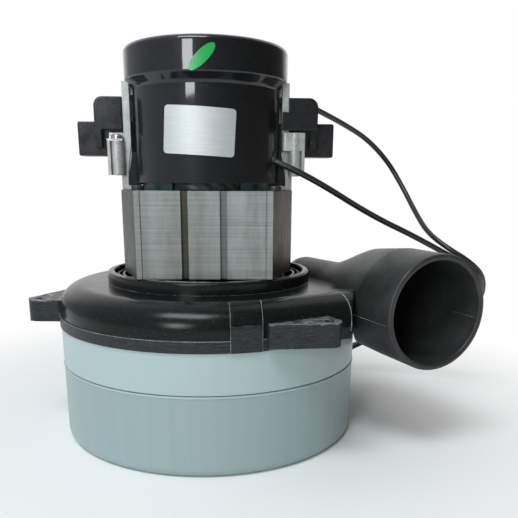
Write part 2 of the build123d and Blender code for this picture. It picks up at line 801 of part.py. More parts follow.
with BuildPart() as armature_winding:
    with BuildSketch(Plane.XY.offset(winding_bottom)):
        with PolarLocations(winding_r - winding_deep / 2 - winding_seat, slot_count):
            Rectangle(winding_deep, slot_width - 2 * winding_seat)
    extrude(amount=winding_top - winding_bottom)
    hole_r = shaft_r + winding_hole
    for low, high in ((winding_bottom, core_bottom - winding_lift),
                      (core_top + winding_lift, winding_top)):
        add(ring([(hole_r, low), (winding_r, low), (winding_r, high), (hole_r, high)],
                 [(winding_r, low, winding_edge_r), (winding_r, high, winding_edge_r)]))
    add(tube_between(hole_r, winding_r - riser_in, winding_top, commutator_bottom))
keep(armature_winding, "armature_winding")

with BuildPart() as commutator:
    with BuildSketch(Plane.XY.offset(commutator_bottom)):
        Circle(commutator_r)
        Circle(shaft_r, mode=Mode.SUBTRACT)
        with PolarLocations(commutator_r, commutator_bars):
            Rectangle(2 * bar_depth, bar_gap, mode=Mode.SUBTRACT)
    extrude(amount=commutator_length)
keep(commutator, "commutator")

# Commutator bracket: two arms, a bridge with the bearing seat, and bosses
boss_middle_y = (boss_in_y + boss_out_y) / 2
boss_web_y = boss_in_y + boss_web / 2
with BuildPart() as commutator_bracket:
    for side in (-1, 1):
        with BuildSketch(Plane.XZ.offset(-arm_half)):
            with BuildLine():
                Polyline(*[(side * x, z) for x, z in (
                    (leg_out_x, stack_top), (leg_out_x, stack_top + leg_rise),
                    (arm_out_x, leg_turn_z), (arm_out_x, arm_top),
                    (arm_in_x, arm_top), (arm_in_x, stack_top + leg_bend_high),
                    (leg_in_x, stack_top + leg_bend_low), (leg_in_x, stack_top))], close=True)
            make_face()
        extrude(amount=2 * arm_half)
        with BuildSketch(Plane.XY.offset(stack_top)):
            with Locations((side * (foot_in_x + leg_out_x) / 2, (foot_back - arm_half) / 2)):
                RectangleRounded(leg_out_x - foot_in_x, foot_back + arm_half, foot_corner_r)
        extrude(amount=foot_thick)
        for end in (-1, 1):
            with BuildSketch(Plane.XY.offset(brush_z - boss_drop)):
                with Locations((side * clamp_screw_x, end * clamp_screw_y)):
                    Circle(boss_r)
                with Locations((side * (arm_in_x + clamp_screw_x) / 2, end * boss_web_y)):
                    Rectangle(clamp_screw_x - arm_in_x, boss_web)
                with Locations((side * (clamp_screw_x + boss_out_x) / 2, end * boss_web_y)):
                    Rectangle(boss_out_x - clamp_screw_x, boss_web)
                with Locations((side * (boss_out_x - boss_flange / 2), end * boss_middle_y)):
                    Rectangle(boss_flange, boss_out_y - boss_in_y)
            boss_top = screw_boss_top if side == end else block_boss_top
            extrude(amount=boss_top - brush_z + boss_drop)
            if side != end:
                with BuildSketch(Plane.XY.offset(block_boss_top - block_high)):
                    with Locations((side * (arm_in_x + boss_out_x) / 2, end * boss_middle_y)):
                        RectangleRounded(boss_out_x - arm_in_x, boss_out_y - boss_in_y, boss_corner_r)
                extrude(amount=block_high)
    with BuildSketch(Plane.XY.offset(bridge_bottom)):
        Rectangle(2 * arm_out_x, 2 * bridge_half)
        Circle(top_bearing_r + seat_wall)
    extrude(amount=bridge_thick)
    with Locations((0, 0, top_bearing_z)):
        Cylinder(top_bearing_r + seat_wall, bridge_bottom - top_bearing_z, align=standing)
    add(ring([(0, top_bearing_z), (top_bearing_r, top_bearing_z),
              (top_bearing_r, top_bearing_top), (top_bearing_r - top_race, top_bearing_top),
              (top_bearing_r - top_race, arm_top), (0, arm_top)]), mode=Mode.SUBTRACT)
    add(tube_between(0, window_r + foot_clear, stack_top, stack_top + foot_thick),
        mode=Mode.SUBTRACT)
    with Locations((0, 0, brush_z)):
        Box(4 * boss_out_x, sleeve_deep + 2 * sleeve_slot_gap, sleeve_high + 2 * sleeve_slot_gap,
            mode=Mode.SUBTRACT)
    with BuildSketch(Plane.XY.offset(stack_top)):
        with Locations(*bolt_places):
            Circle(bolt_r + running_fit)
    extrude(amount=foot_thick, mode=Mode.SUBTRACT)
    screw_low = screw_boss_top + clamp_thick - clamp_screw_long
    for side in (-1, 1):
        with Locations((side * clamp_screw_x, side * clamp_screw_y, screw_low)):
            Cylinder(clamp_screw_r, clamp_screw_long, mode=Mode.SUBTRACT, align=standing)
print("commutator bracket solids", [round(s.volume) for s in commutator_bracket.part.solids()])
keep(commutator_bracket, "commutator_bracket")


def bar(side, x0, x1, deep, z0, z1, y=0.0, mode=Mode.ADD):
    """A box along X on one side of the shaft, at a place across."""
    with Locations((side * (x0 + x1) / 2, y, (z0 + z1) / 2)):
        Box(x1 - x0, deep, z1 - z0, mode=mode)


# Brush spring, wound on the left and turned half a turn for the right
spring_start = brush_out_x + spring_wire_r + spring_gap
spring_length = tube_out_x - spring_wire_r - spring_gap - spring_start
with BuildPart() as left_spring:
    with BuildLine() as coil_line:
        Helix(pitch=spring_length / spring_turns, height=spring_length, radius=spring_r,
              center=(-spring_start, 0, brush_z), direction=(-1, 0, 0))
    with BuildSketch(Plane(origin=coil_line.edges()[0] @ 0, z_dir=coil_line.edges()[0] % 0)):
        Circle(spring_wire_r)
    sweep()

# Brush gear, the same on both sides, turned half a turn about the shaft
for side, name in ((-1, "left"), (1, "right")):
    with BuildPart() as brush_tube:
        bar(side, tube_in_x, tube_out_x, tube_deep, tube_low, tube_high_z)
        bar(side, tube_in_x, tube_out_x, tube_deep - 2 * tube_wall, tube_low + tube_wall,
            tube_high_z - tube_wall, mode=Mode.SUBTRACT)
    keep(brush_tube, f"brush_tube_{name}")

    with BuildPart() as carbon_brush:
        bar(side, brush_in_x, brush_out_x, brush_deep, brush_z - brush_high / 2,
            brush_z + brush_high / 2)
    keep(carbon_brush, f"carbon_brush_{name}")

    with BuildPart() as brush_spring:
        add(left_spring.part, rotation=(0, 0, 0 if side < 0 else 180))
    keep(brush_spring, f"brush_spring_{name}")

    hood_top = brush_z + hood_rise
    with BuildPart() as brush_holder:
        bar(side, sleeve_in_x, sleeve_out_x, sleeve_deep, sleeve_low, sleeve_top)
        outer_end = brush_holder.faces().sort_by(Axis.X)[0 if side < 0 else -1]
        fillet(outer_end.edges(), sleeve_edge_r)
        bar(side, hood_out_x - leg_wall, hood_out_x, 2 * hood_half, brush_z - leg_drop, hood_top)
        bar(side, hood_in_x, hood_out_x, 2 * hood_half, brush_z + hood_floor, hood_top)
        cheek_out_y = arm_half + cheek_gap + cheek_thick
        bar(side, hood_in_x, hood_out_x, cheek_out_y - hood_half, brush_z + hood_floor, hood_top,
            -side * (cheek_out_y + hood_half) / 2)
        bar(side, arm_in_x + cheek_in, hood_in_x, cheek_thick, brush_z + hood_floor, hood_top,
            -side * (cheek_out_y - cheek_thick / 2))
        bar(side, arm_in_x, hood_in_x, cheek_thick, brush_z + hood_floor, brush_z + cheek_low_rise,
            -side * (cheek_out_y - cheek_thick / 2))
        hood_edges = brush_holder.edges().filter_by(Axis.Y).group_by(Axis.Z)[-1]
        fillet(hood_edges.sort_by(Axis.X)[0 if side < 0 else -1], hood_corner_r)
        bar(side, hood_in_x, hood_out_x - leg_wall, sleeve_deep, sleeve_top + hood_slot,
            hood_top - leg_wall, mode=Mode.SUBTRACT)
        bar(side, sleeve_in_x, sleeve_out_x - sleeve_cap, tube_deep + 2 * tube_fit,
            tube_low - tube_fit, tube_high_z + tube_fit, mode=Mode.SUBTRACT)
    keep(brush_holder, f"brush_holder_{name}")

    plate_top = screw_boss_top + clamp_thick
    with BuildPart() as brush_clamp:
        bar(side, arm_out_x + clamp_gap, boss_out_x, boss_out_y - boss_in_y, screw_boss_top,
            plate_top, side * boss_middle_y)
        bar(side, arm_out_x + clamp_gap, boss_out_x, clamp_tab, screw_boss_top,
            screw_boss_top + clamp_tab_high, side * (boss_in_y - clamp_tab_in))
        with Locations((side * clamp_screw_x, side * clamp_screw_y, screw_boss_top)):
            Cylinder(clamp_screw_r + clamp_screw_fit, clamp_thick, mode=Mode.SUBTRACT,
                     align=standing)
    keep(brush_clamp, f"brush_clamp_{name}")

with BuildPart() as clamp_screws:
    for side in (-1, 1):
        with Locations((side * clamp_screw_x, side * clamp_screw_y, screw_boss_top + clamp_thick)):
            Cylinder(clamp_head_r, clamp_head_h, align=standing)
            Cylinder(clamp_screw_r, clamp_screw_long - clamp_screw_room, align=hanging)
    for head in clamp_screws.faces().filter_by(Axis.Z).group_by(Axis.Z)[-1]:
        fillet(head.edges(), clamp_head_edge_r)
keep(clamp_screws, "clamp_screws")

# Cooling fan on the top of the shaft, with its spacer and nut
with BuildPart() as cooling_fan:
    add(tube_between(fan_shaft_r, cool_hub_r, cool_fan_z, cool_nut_z))
    add(tube_between(fan_shaft_r, cool_fan_r, cool_fan_z, cool_fan_z + cool_fan_sheet))
    with BuildSketch(Plane.XY.offset(cool_fan_z)):
        with PolarLocations(cool_blade_r, cool_blades):
            Rectangle(cool_blade_long, cool_fan_sheet, rotation=cool_blade_sweep)
    extrude(amount=cool_fan_high)
keep(cooling_fan, "cooling_fan")
keep(hex_nut(cool_nut_z, nut_high, fan_shaft_r), "cooling_fan_nut")
with BuildPart() as cooling_fan_spacer:
    add(tube_between(fan_shaft_r, fan_shaft_r + cool_spacer_wall, top_bearing_top, cool_fan_z))
keep(cooling_fan_spacer, "cooling_fan_spacer")


def lead_axis(route):
    """The first point of a lead and the way that it leaves."""
    return Vector(*route[0]), (Vector(*route[1]) - Vector(*route[0])).normalized()


# Cooling fan cover: skirt, neck and band, with vents in its top
with BuildPart() as cooling_fan_cover:
    add(ring([(skirt_r, skirt_bottom), (skirt_r, neck_bottom), (band_r, neck_top),
              (band_r, cover_top), (0, cover_top), (0, cover_top - cover_wall),
              (band_r - cover_wall, cover_top - cover_wall),
              (band_r - cover_wall, neck_top + neck_overlap),
              (skirt_r - cover_wall, neck_bottom + neck_overlap),
              (skirt_r - cover_wall, skirt_bottom)],
             [(band_r, cover_top, cover_edge_r),
              (band_r - cover_wall, cover_top - cover_wall, cover_inner_r),
              (skirt_r, neck_bottom, neck_in_r), (band_r, neck_top, neck_out_r)]))
    with BuildSketch(Plane.XY.offset(cover_top - cover_wall)):
        with PolarLocations((vent_in_r + vent_out_r) / 2, vent_count):
            SlotOverall(vent_out_r - vent_in_r, vent_width)
    extrude(amount=cover_wall, mode=Mode.SUBTRACT)
    for side in (-1, 1):
        bar(side, cover_slot_in, band_r, 2 * (bridge_half + cover_slot_gap), skirt_bottom, arm_top,
            mode=Mode.SUBTRACT)
        bar(side, arm_in_x - cover_slot_gap, band_r, 2 * (arm_half + cover_slot_gap),
            neck_bottom - neck_in_r, arm_top, mode=Mode.SUBTRACT)
    for route in (route_a, route_b):
        start, way = lead_axis(route)
        with BuildSketch(Plane(origin=start - way * grommet_length, z_dir=way)):
            Circle(lead_r + grommet_wall)
        extrude(amount=grommet_length, mode=Mode.SUBTRACT)
keep(cooling_fan_cover, "cooling_fan_cover")


def skin(radius, profile_plane, wide, high, turn, corner):
    """A film bent round a cylinder, cut to a turned outline seen from the front."""
    with BuildPart() as film_piece:
        add(tube_between(radius, radius + film, profile_plane.origin.Z - wide,
                         profile_plane.origin.Z + wide))
        with BuildSketch(profile_plane):
            if corner:
                RectangleRounded(wide, high, corner, rotation=turn)
            else:
                Ellipse(wide / 2, high / 2, rotation=turn)
        extrude(amount=2 * band_r, mode=Mode.INTERSECT)
    return film_piece


label_plane = Plane(origin=(label_x, 0, skirt_bottom + label_rise), x_dir=(1, 0, 0),
                    z_dir=(0, -1, 0))
sticker_plane = Plane(origin=(sticker_x, 0, cover_top - sticker_drop), x_dir=(1, 0, 0),
                      z_dir=(0, -1, 0))
keep(skin(skirt_r, label_plane, label_wide, label_high, label_turn, label_r), "rating_label")
keep(skin(band_r, sticker_plane, sticker_wide, sticker_high, sticker_turn, 0), "inspection_sticker")


# Leads: grommet in the cover, wire, and an insulated terminal at the far end
def bend_radii(route):
    """The radius of each bend: 0.45 of its shorter run over the half turn's tangent."""
    radii = []
    for before, here, after in zip(route, route[1:], route[2:]):
        run_in = Vector(*here) - Vector(*before)
        run_out = Vector(*after) - Vector(*here)
        half_turn = radians(run_in.get_angle(run_out)) / 2
        radii.append(0.45 * min(run_in.length, run_out.length) / tan(half_turn))
    return radii


for letter, route in (("a", route_a), ("b", route_b)):
    start, way = lead_axis(route)
    with BuildPart() as grommet:
        with BuildSketch(Plane(origin=start - way * grommet_length, z_dir=way)):
            Circle(lead_r + grommet_wall)
        extrude(amount=grommet_length)
    keep(grommet, f"lead_grommet_{letter}")

    radii = bend_radii(route)
    with BuildPart() as lead:
        with BuildLine() as path:
            FilletPolyline(*route, radius=radii)
        with BuildSketch(Plane(origin=path.line @ 0, z_dir=path.line % 0)):
            Circle(lead_r)
        sweep()
    keep(lead, f"lead_wire_{letter}")
    length = sum(edge.length for edge in path.line.edges())
    print(f"lead {letter} length {length:.0f} volume {lead.part.volume:.0f} of "
          f"{pi * lead_r ** 2 * length:.0f} radii", [round(radius) for radius in radii])

    finish, way = Vector(*route[-1]), (Vector(*route[-1]) - Vector(*route[-2])).normalized()
    flat_way = Vector(way.X, way.Y, 0).normalized()
    with BuildPart() as terminal:
        with BuildSketch(Plane(origin=finish, z_dir=flat_way, x_dir=(flat_way.Y, -flat_way.X, 0))):
            RectangleRounded(terminal_wide, terminal_high, terminal_edge_r)
        extrude(amount=terminal_long)
    keep(terminal, f"lead_terminal_{letter}")
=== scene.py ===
"""Looks of the bypass vacuum motor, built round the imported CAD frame."""
import bpy
import bmesh
import json
import random
from math import cos, hypot, pi, radians, sin, sqrt
from mathutils import Matrix, Vector


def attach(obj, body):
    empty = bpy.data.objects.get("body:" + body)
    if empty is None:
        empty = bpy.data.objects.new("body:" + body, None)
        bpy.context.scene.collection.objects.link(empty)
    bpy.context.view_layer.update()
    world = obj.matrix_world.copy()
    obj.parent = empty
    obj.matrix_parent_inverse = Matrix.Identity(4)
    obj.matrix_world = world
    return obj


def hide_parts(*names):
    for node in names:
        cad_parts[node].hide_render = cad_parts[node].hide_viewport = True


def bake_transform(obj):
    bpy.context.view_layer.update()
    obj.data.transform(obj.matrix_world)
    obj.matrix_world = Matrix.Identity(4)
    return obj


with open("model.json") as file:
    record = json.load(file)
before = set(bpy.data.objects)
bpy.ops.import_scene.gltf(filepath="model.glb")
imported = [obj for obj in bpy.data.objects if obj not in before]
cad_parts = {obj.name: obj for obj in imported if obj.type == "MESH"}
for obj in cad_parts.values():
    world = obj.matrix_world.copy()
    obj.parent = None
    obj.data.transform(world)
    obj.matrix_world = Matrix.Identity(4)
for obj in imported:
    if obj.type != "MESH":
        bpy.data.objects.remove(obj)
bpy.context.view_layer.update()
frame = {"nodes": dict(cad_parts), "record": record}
nodes = frame["nodes"]
scene = bpy.context.scene
MM = 0.001


# Camera at the photograph's viewing angle
PHOTO_PX = 518
FOCAL_PX = 615.07
AXIS_PX_Y = 348.5
SENSOR_MM = 36.0
CAMERA_PLACE = (7.75, -308.19, 121.08)
CAMERA_YAW = 0.0561
CAMERA_PITCH = 0.266
CAMERA_ROLL = 0.006


def make_camera():
    """The photograph's camera, its optical axis below the picture's middle."""
    data = bpy.data.cameras.new("camera")
    data.sensor_width = SENSOR_MM
    data.lens = SENSOR_MM * FOCAL_PX / PHOTO_PX
    data.shift_y = (AXIS_PX_Y - PHOTO_PX / 2) / PHOTO_PX
    data.clip_start = 0.01
    data.clip_end = 20.0
    camera = bpy.data.objects.new("camera", data)
    scene.collection.objects.link(camera)
    camera.location = Vector(CAMERA_PLACE) * MM
    turn = Matrix.Rotation(-CAMERA_YAW, 4, "Z") @ Matrix.Rotation(pi / 2 - CAMERA_PITCH, 4, "X")
    camera.rotation_euler = (turn @ Matrix.Rotation(CAMERA_ROLL, 4, "Z")).to_euler()
    scene.camera = camera


make_camera()


# Lamination stack sizes, in millimetres
SHEETS = 75
STACK_TURN = -1.5
STACK_X, STACK_Y, FRONT_FLAT_X, SIDE_FLAT_Y = 39.65, 40.0, 29.6, 12.0
GROOVE_IN, GROOVE_OUT, GROOVE_DEPTH = 6.85, 9.85, 1.6
LINE_X, LINE_WIDE = 27.2, 0.7
BORE_R, POLE_TIP_R, WINDOW_R = 20.6, 23.0, 32.0
TIP_HALF, WINDOW_HALF = 50.0, 64.0
BOLTS = [(x * 30.5, y * 24.0) for x in (-1, 1) for y in (-1, 1)]
BOLT_HOLE_R = 2.05


# Node helpers
class Shader:
    """A material's node tree, with short calls to add and join nodes."""

    def __init__(self, name):
        self.material = bpy.data.materials.new(name)
        self.material.use_nodes = True
        self.tree = self.material.node_tree
        self.bsdf = self.tree.nodes["Principled BSDF"]
        self.place = self.add("ShaderNodeTexCoord").outputs["Object"]

    def add(self, kind, **values):
        node = self.tree.nodes.new(kind)
        for key, value in values.items():
            if hasattr(node, key):
                setattr(node, key, value)
            else:
                node.inputs[key].default_value = value
        return node

    def link(self, source, target):
        self.tree.links.new(source, target)

    def set(self, **values):
        for key, value in values.items():
            self.bsdf.inputs[key.replace("_", " ")].default_value = value

    def noise(self, scale, detail=3.0, rough=0.5, stretch=None):
        """Noise over the piece's own place, stretched along an axis if asked."""
        source = self.place
        if stretch:
            mapping = self.add("ShaderNodeMapping")
            mapping.inputs["Scale"].default_value = stretch
            self.link(self.place, mapping.inputs["Vector"])
            source = mapping.outputs["Vector"]
        node = self.add("ShaderNodeTexNoise")
        node.inputs["Scale"].default_value = scale
        node.inputs["Detail"].default_value = detail
        node.inputs["Roughness"].default_value = rough
        self.link(source, node.inputs["Vector"])
        return node.outputs["Fac"]

    def ramp(self, factor, stops):
        """A colour ramp over stops of (place, colour)."""
        node = self.add("ShaderNodeValToRGB")
        elements = node.color_ramp.elements
        while len(elements) < len(stops):
            elements.new(0.5)
        for element, (place, colour) in zip(elements, stops):
            element.position = place
            element.color = (*colour, 1.0) if len(colour) == 3 else colour
        self.link(factor, node.inputs["Fac"])
        return node.outputs["Color"]

    def span(self, factor, low, high, start=0.0, stop=1.0):
        """A number carried from one range to another, held at its ends."""
        node = self.add("ShaderNodeMapRange")
        for key, value in (("From Min", low), ("From Max", high), ("To Min", start), ("To Max", stop)):
            node.inputs[key].default_value = value
        self.link(factor, node.inputs["Value"])
        return node.outputs["Result"]

    def radius(self):
        """Distance from the motor's axis, in metres."""
        flat = self.add("ShaderNodeMapping")
        flat.inputs["Scale"].default_value = (1, 1, 0)
        self.link(self.place, flat.inputs["Vector"])
        length = self.add("ShaderNodeVectorMath", operation="LENGTH")
        self.link(flat.outputs["Vector"], length.inputs[0])
        return length.outputs["Value"]

    def soft_edge(self, radius):
        """A normal rounded over the edges of a CAD solid."""
        node = self.add("ShaderNodeBevel", samples=4)
        node.inputs["Radius"].default_value = radius
        return node.outputs["Normal"]

    def specks(self, scale, least):
        """A mask of small scattered specks."""
        return self.span(self.noise(scale, 2.0, 0.4), least, least + 0.03)

    def math(self, operation, first, second=0.0):
        node = self.add("ShaderNodeMath", operation=operation)
        for place, value in enumerate((first, second)):
            if isinstance(value, (int, float)):
                node.inputs[place].default_value = value
            else:
                self.link(value, node.inputs[place])
        return node.outputs["Value"]

    def mix(self, factor, first, second, blend="MIX"):
        """One colour laid over another by a factor."""
        node = self.add("ShaderNodeMix", data_type="RGBA", blend_type=blend)
        for socket, value in ((node.inputs[0], factor), (node.inputs[6], first), (node.inputs[7], second)):
            if isinstance(value, (int, float)):
                socket.default_value = value
            elif isinstance(value, tuple):
                socket.default_value = (*value, 1.0)
            else:
                self.link(value, socket)
        return node.outputs[2]

    def axis(self, letter):
        """One coordinate of the place, in metres."""
        node = self.add("ShaderNodeSeparateXYZ")
        self.link(self.place, node.inputs["Vector"])
        return node.outputs[letter]

    def colour(self, socket):
        self.link(socket, self.bsdf.inputs["Base Color"])

    def rough(self, socket):
        self.link(socket, self.bsdf.inputs["Roughness"])

    def bump(self, height, distance, strength=1.0, below=None):
        node = self.add("ShaderNodeBump")
        node.inputs["Distance"].default_value = distance
        node.inputs["Strength"].default_value = strength
        self.link(height, node.inputs["Height"])
        if below:
            self.link(below, node.inputs["Normal"])
        self.link(node.outputs["Normal"], self.bsdf.inputs["Normal"])
        return node.outputs["Normal"]


def plain(name, dark, light, rough_low, rough_high, scale=400.0, grain=0.00002, metal=0.0, edge=0.0):
    """A material with a mottled colour, uneven gloss and a fine grain."""
    shader = Shader(name)
    mottle = shader.noise(scale, 4.0, 0.6)
    shader.colour(shader.ramp(mottle, [(0.3, dark), (0.7, light)]))
    shader.rough(shader.span(shader.noise(scale * 0.3, 3.0), 0.3, 0.7, rough_low, rough_high))
    shader.bump(mottle, grain, below=shader.soft_edge(edge) if edge else None)
    shader.set(Metallic=metal)
    return shader.material


def case_paint(name, colour, painted_reflection_share):
    """Satin paint on pressed steel, with soft upright streaks of painted reflection and a few specks."""
    shader = Shader(name)
    # Painted reflection: soft upright streaks lighten and darken the paint as vertical reflections on the can
    # would.
    painted_reflection_streaks = shader.noise(260.0, 3.0, 0.55, stretch=(1, 1, 0.02))
    clouds = shader.noise(28.0, 3.0, 0.6)
    low = tuple(value * (1 - painted_reflection_share) for value in colour)
    high = tuple(value * (1 + painted_reflection_share) for value in colour)
    base = shader.mix(shader.span(clouds, 0.3, 0.7, 0.0, 0.6),
                      shader.ramp(painted_reflection_streaks, [(0.3, low), (0.7, high)]), colour)
    dirt = shader.specks(900.0, 0.775)
    shader.colour(shader.mix(dirt, base, (0.12, 0.14, 0.13)))
    shader.rough(shader.span(clouds, 0.3, 0.7, 0.3, 0.42))
    shader.bump(shader.noise(1500.0, 3.0, 0.6), 0.00001, below=shader.soft_edge(0.0005))
    return shader.material


# Wear masks of the fan end bracket: where each starts and ends, in metres
ROOT_WAY = (0.454, -0.891, 0)
ROOT_FACE = 0.0725, 0.0727
ROOT_RIGHT = 0.030, 0.031
ROOT_FRONT = -0.031, -0.030
EAR_OUT = 0.0731, 0.0734
FLANGE_UNDER = 0.0596, 0.0602
EAR_WORN = 0.0652, 0.0658


def bracket_plastic(name):
    """Glossy moulded deck, with a chalky flange and ears outside the can's line."""
    shader = Shader(name)
    out = shader.radius()
    facing = shader.add("ShaderNodeVectorMath", operation="DOT_PRODUCT")
    facing.inputs[1].default_value = ROOT_WAY
    shader.link(shader.place, facing.inputs[0])
    root = shader.math("MULTIPLY", shader.span(facing.outputs["Value"], *ROOT_FACE, 1.0, 0.0),
                       shader.math("MULTIPLY", shader.span(shader.axis("X"), *ROOT_RIGHT),
                                   shader.span(shader.axis("Y"), *ROOT_FRONT, 1.0, 0.0)))
    ear = shader.math("MULTIPLY", shader.span(out, *EAR_OUT), shader.math("SUBTRACT", 1.0, root))
    low = shader.span(shader.axis("Z"), *FLANGE_UNDER, 1.0, 0.0)
    chalk = shader.math("MAXIMUM", ear, low)
    smear = shader.noise(90.0, 4.0, 0.6)
    scuffs = shader.noise(900.0, 4.0, 0.65, stretch=(0.25, 1, 3))
    deck = shader.ramp(smear, [(0.3, (0.005, 0.006, 0.006)), (0.7, (0.009, 0.010, 0.010))])
    dusty = shader.ramp(scuffs, [(0.35, (0.016, 0.018, 0.019)), (0.62, (0.034, 0.040, 0.040)),
                                 (0.8, (0.10, 0.11, 0.11))])
    dust = shader.math("MULTIPLY", shader.specks(2600.0, 0.69), 0.5)
    scratches = shader.span(shader.noise(800.0, 4.0, 0.6, stretch=(0.3, 1, 1)), 0.5, 0.6)
    top = shader.math("MULTIPLY", shader.math("MULTIPLY", ear, scratches),
                      shader.span(shader.axis("Z"), *EAR_WORN))
    worn = shader.mix(top, shader.mix(chalk, deck, dusty), (0.30, 0.32, 0.31))
    shader.colour(shader.mix(dust, worn, (0.16, 0.17, 0.17)))
    gloss = shader.span(smear, 0.3, 0.7, 0.17, 0.24)
    matt = shader.span(scuffs, 0.3, 0.7, 0.34, 0.5)
    mixed = shader.math("ADD", shader.math("MULTIPLY", gloss, shader.math("SUBTRACT", 1.0, chalk)),
                        shader.math("MULTIPLY", matt, chalk))
    shader.rough(mixed)
    hatch = shader.math("MULTIPLY", scuffs, chalk)
    shader.bump(hatch, 0.00008, below=shader.soft_edge(0.0005))
    shader.set(Specular_IOR_Level=0.19)
    return shader.material


def horn_plastic(name):
    """Matt black moulding, grainy, paler where it is rubbed."""
    shader = Shader(name)
    grain = shader.noise(1600.0, 5.0, 0.7)
    rubbed = shader.noise(60.0, 4.0, 0.6)
    base = shader.ramp(rubbed, [(0.35, (0.019, 0.020, 0.020)), (0.75, (0.044, 0.047, 0.045))])
    shader.colour(shader.mix(shader.math("MULTIPLY", shader.specks(2200.0, 0.68), 0.6), base,
                             (0.12, 0.13, 0.125)))
    shader.rough(shader.span(grain, 0.3, 0.7, 0.28, 0.46))
    shader.bump(grain, 0.00003)
    shader.set(Specular_IOR_Level=0.35)
    return shader.material


def cover_plastic(name):
    """Black moulding under a high gloss, with a faint swell and a bluish haze."""
    shader = Shader(name)
    swell = shader.noise(70.0, 2.0, 0.4)
    dust = shader.math("MULTIPLY", shader.specks(2400.0, 0.72), 0.5)
    base = shader.ramp(swell, [(0.3, (0.005, 0.006, 0.007)), (0.7, (0.007, 0.008, 0.010))])
    shader.colour(shader.mix(dust, base, (0.16, 0.17, 0.18)))
    shader.rough(shader.span(shader.noise(140.0, 4.0, 0.6), 0.3, 0.7, 0.34, 0.42))
    skin = shader.bump(swell, 0.00006, below=shader.soft_edge(0.0003))
    shader.link(skin, shader.bsdf.inputs["Coat Normal"])
    shader.set(Coat_Weight=1.0, Coat_Roughness=0.05, Coat_IOR=1.45, Specular_IOR_Level=0.16)
    return shader.material


MASK_EDGE = 0.0001


def lamination_steel(name):
    """Bare electrical steel: each sheet its own tone, with painted shade on its cut corners and in its
    grooves and a painted brown reflection on its right corner.
    """
    shader = Shader(name)
    layers = shader.noise(900.0, 1.0, 0.5, stretch=(0.02, 0.02, 2.4))
    bands = shader.noise(95.0, 2.0, 0.5, stretch=(1, 0.3, 0.03))
    scuffs = shader.noise(700.0, 4.0, 0.65, stretch=(0.5, 0.5, 0.12))
    tone = shader.math("ADD", shader.math("MULTIPLY", layers, 0.3),
                       shader.math("ADD", shader.math("MULTIPLY", bands, 0.4),
                                   shader.math("MULTIPLY", scuffs, 0.3)))
    steel = shader.ramp(tone, [(0.3, (0.15, 0.155, 0.15)), (0.5, (0.27, 0.285, 0.28)),
                               (0.7, (0.40, 0.42, 0.415))])
    square = shader.add("ShaderNodeMapping")
    square.inputs["Rotation"].default_value = (0, 0, -radians(STACK_TURN))
    shader.link(shader.place, square.inputs["Vector"])
    parts = shader.add("ShaderNodeSeparateXYZ")
    shader.link(square.outputs["Vector"], parts.inputs["Vector"])
    across = parts.outputs["X"]

    def between(low, high):
        return shader.math("MULTIPLY", shader.span(across, low - MASK_EDGE, low),
                           shader.span(across, high, high + MASK_EDGE, 1.0, 0.0))

    # Painted shade and reflection: the left cut corner is darkened, the right one darkened to brown as a warm
    # reflection, the left groove darkened most and the right one a little.
    groove, cut = (GROOVE_IN * MM, GROOVE_OUT * MM), (FRONT_FLAT_X * MM, 2 * FRONT_FLAT_X * MM)
    painted_facet_shade = shader.mix(between(-cut[1], -cut[0]), (1.0, 1.0, 1.0), (0.15, 0.165, 0.165))
    painted_facet_shade = shader.mix(between(*cut), painted_facet_shade, (0.17, 0.125, 0.075))
    painted_facet_shade = shader.mix(between(-groove[1], -groove[0]), painted_facet_shade, (0.20, 0.20, 0.15))
    painted_facet_shade = shader.mix(between(*groove), painted_facet_shade, (0.50, 0.53, 0.53))
    shader.colour(shader.mix(1.0, steel, painted_facet_shade, "MULTIPLY"))
    shader.rough(shader.span(scuffs, 0.3, 0.7, 0.38, 0.55))
    shader.bump(layers, 0.00004)
    shader.set(Metallic=0.6)
    return shader.material


def cast_aluminium(name):
    """Die-cast aluminium, grey and slightly pitted, with milky edges."""
    shader = Shader(name)
    cast = shader.noise(900.0, 4.0, 0.65)
    patches = shader.noise(140.0, 3.0, 0.6)
    tone = shader.math("ADD", shader.math("MULTIPLY", cast, 0.4), shader.math("MULTIPLY", patches, 0.6))
    shader.colour(shader.ramp(tone, [(0.3, (0.26, 0.27, 0.25)), (0.5, (0.40, 0.42, 0.41)),
                                     (0.72, (0.56, 0.60, 0.60))]))
    shader.rough(shader.span(patches, 0.3, 0.7, 0.34, 0.5))
    shader.bump(cast, 0.00006, below=shader.soft_edge(0.0005))
    shader.set(Metallic=0.45)
    return shader.material


def label_silver(name):
    """Brushed silver film with a soft sheen."""
    shader = Shader(name)
    brushed = shader.noise(1500.0, 3.0, 0.5, stretch=(0.06, 0.06, 1))
    shader.colour(shader.ramp(brushed, [(0.3, (0.56, 0.60, 0.61)), (0.7, (0.64, 0.68, 0.69))]))
    shader.rough(shader.span(brushed, 0.3, 0.7, 0.52, 0.6))
    shader.bump(brushed, 0.000004)
    shader.set(Metallic=0.8)
    return shader.material


def coil_in_painted_shade(name):
    """A field coil in painted shade: near black for the shade under the cover's skirt, banded in diagonal
    turns.
    """
    shader = Shader(name)
    wave = shader.add("ShaderNodeTexWave", wave_type="BANDS", bands_direction="DIAGONAL")
    wave.inputs["Scale"].default_value = 90.0
    wave.inputs["Distortion"].default_value = 1.5
    shader.link(shader.place, wave.inputs["Vector"])
    turns = wave.outputs["Fac"]
    # Painted shade: the coil is coloured near black for the shadow under the cover's skirt.
    shader.colour(shader.ramp(turns, [(0.1, (0.008, 0.010, 0.010)), (0.8, (0.020, 0.026, 0.026))]))
    shader.rough(shader.span(turns, 0.0, 1.0, 0.3, 0.5))
    shader.bump(turns, 0.0003)
    return shader.material


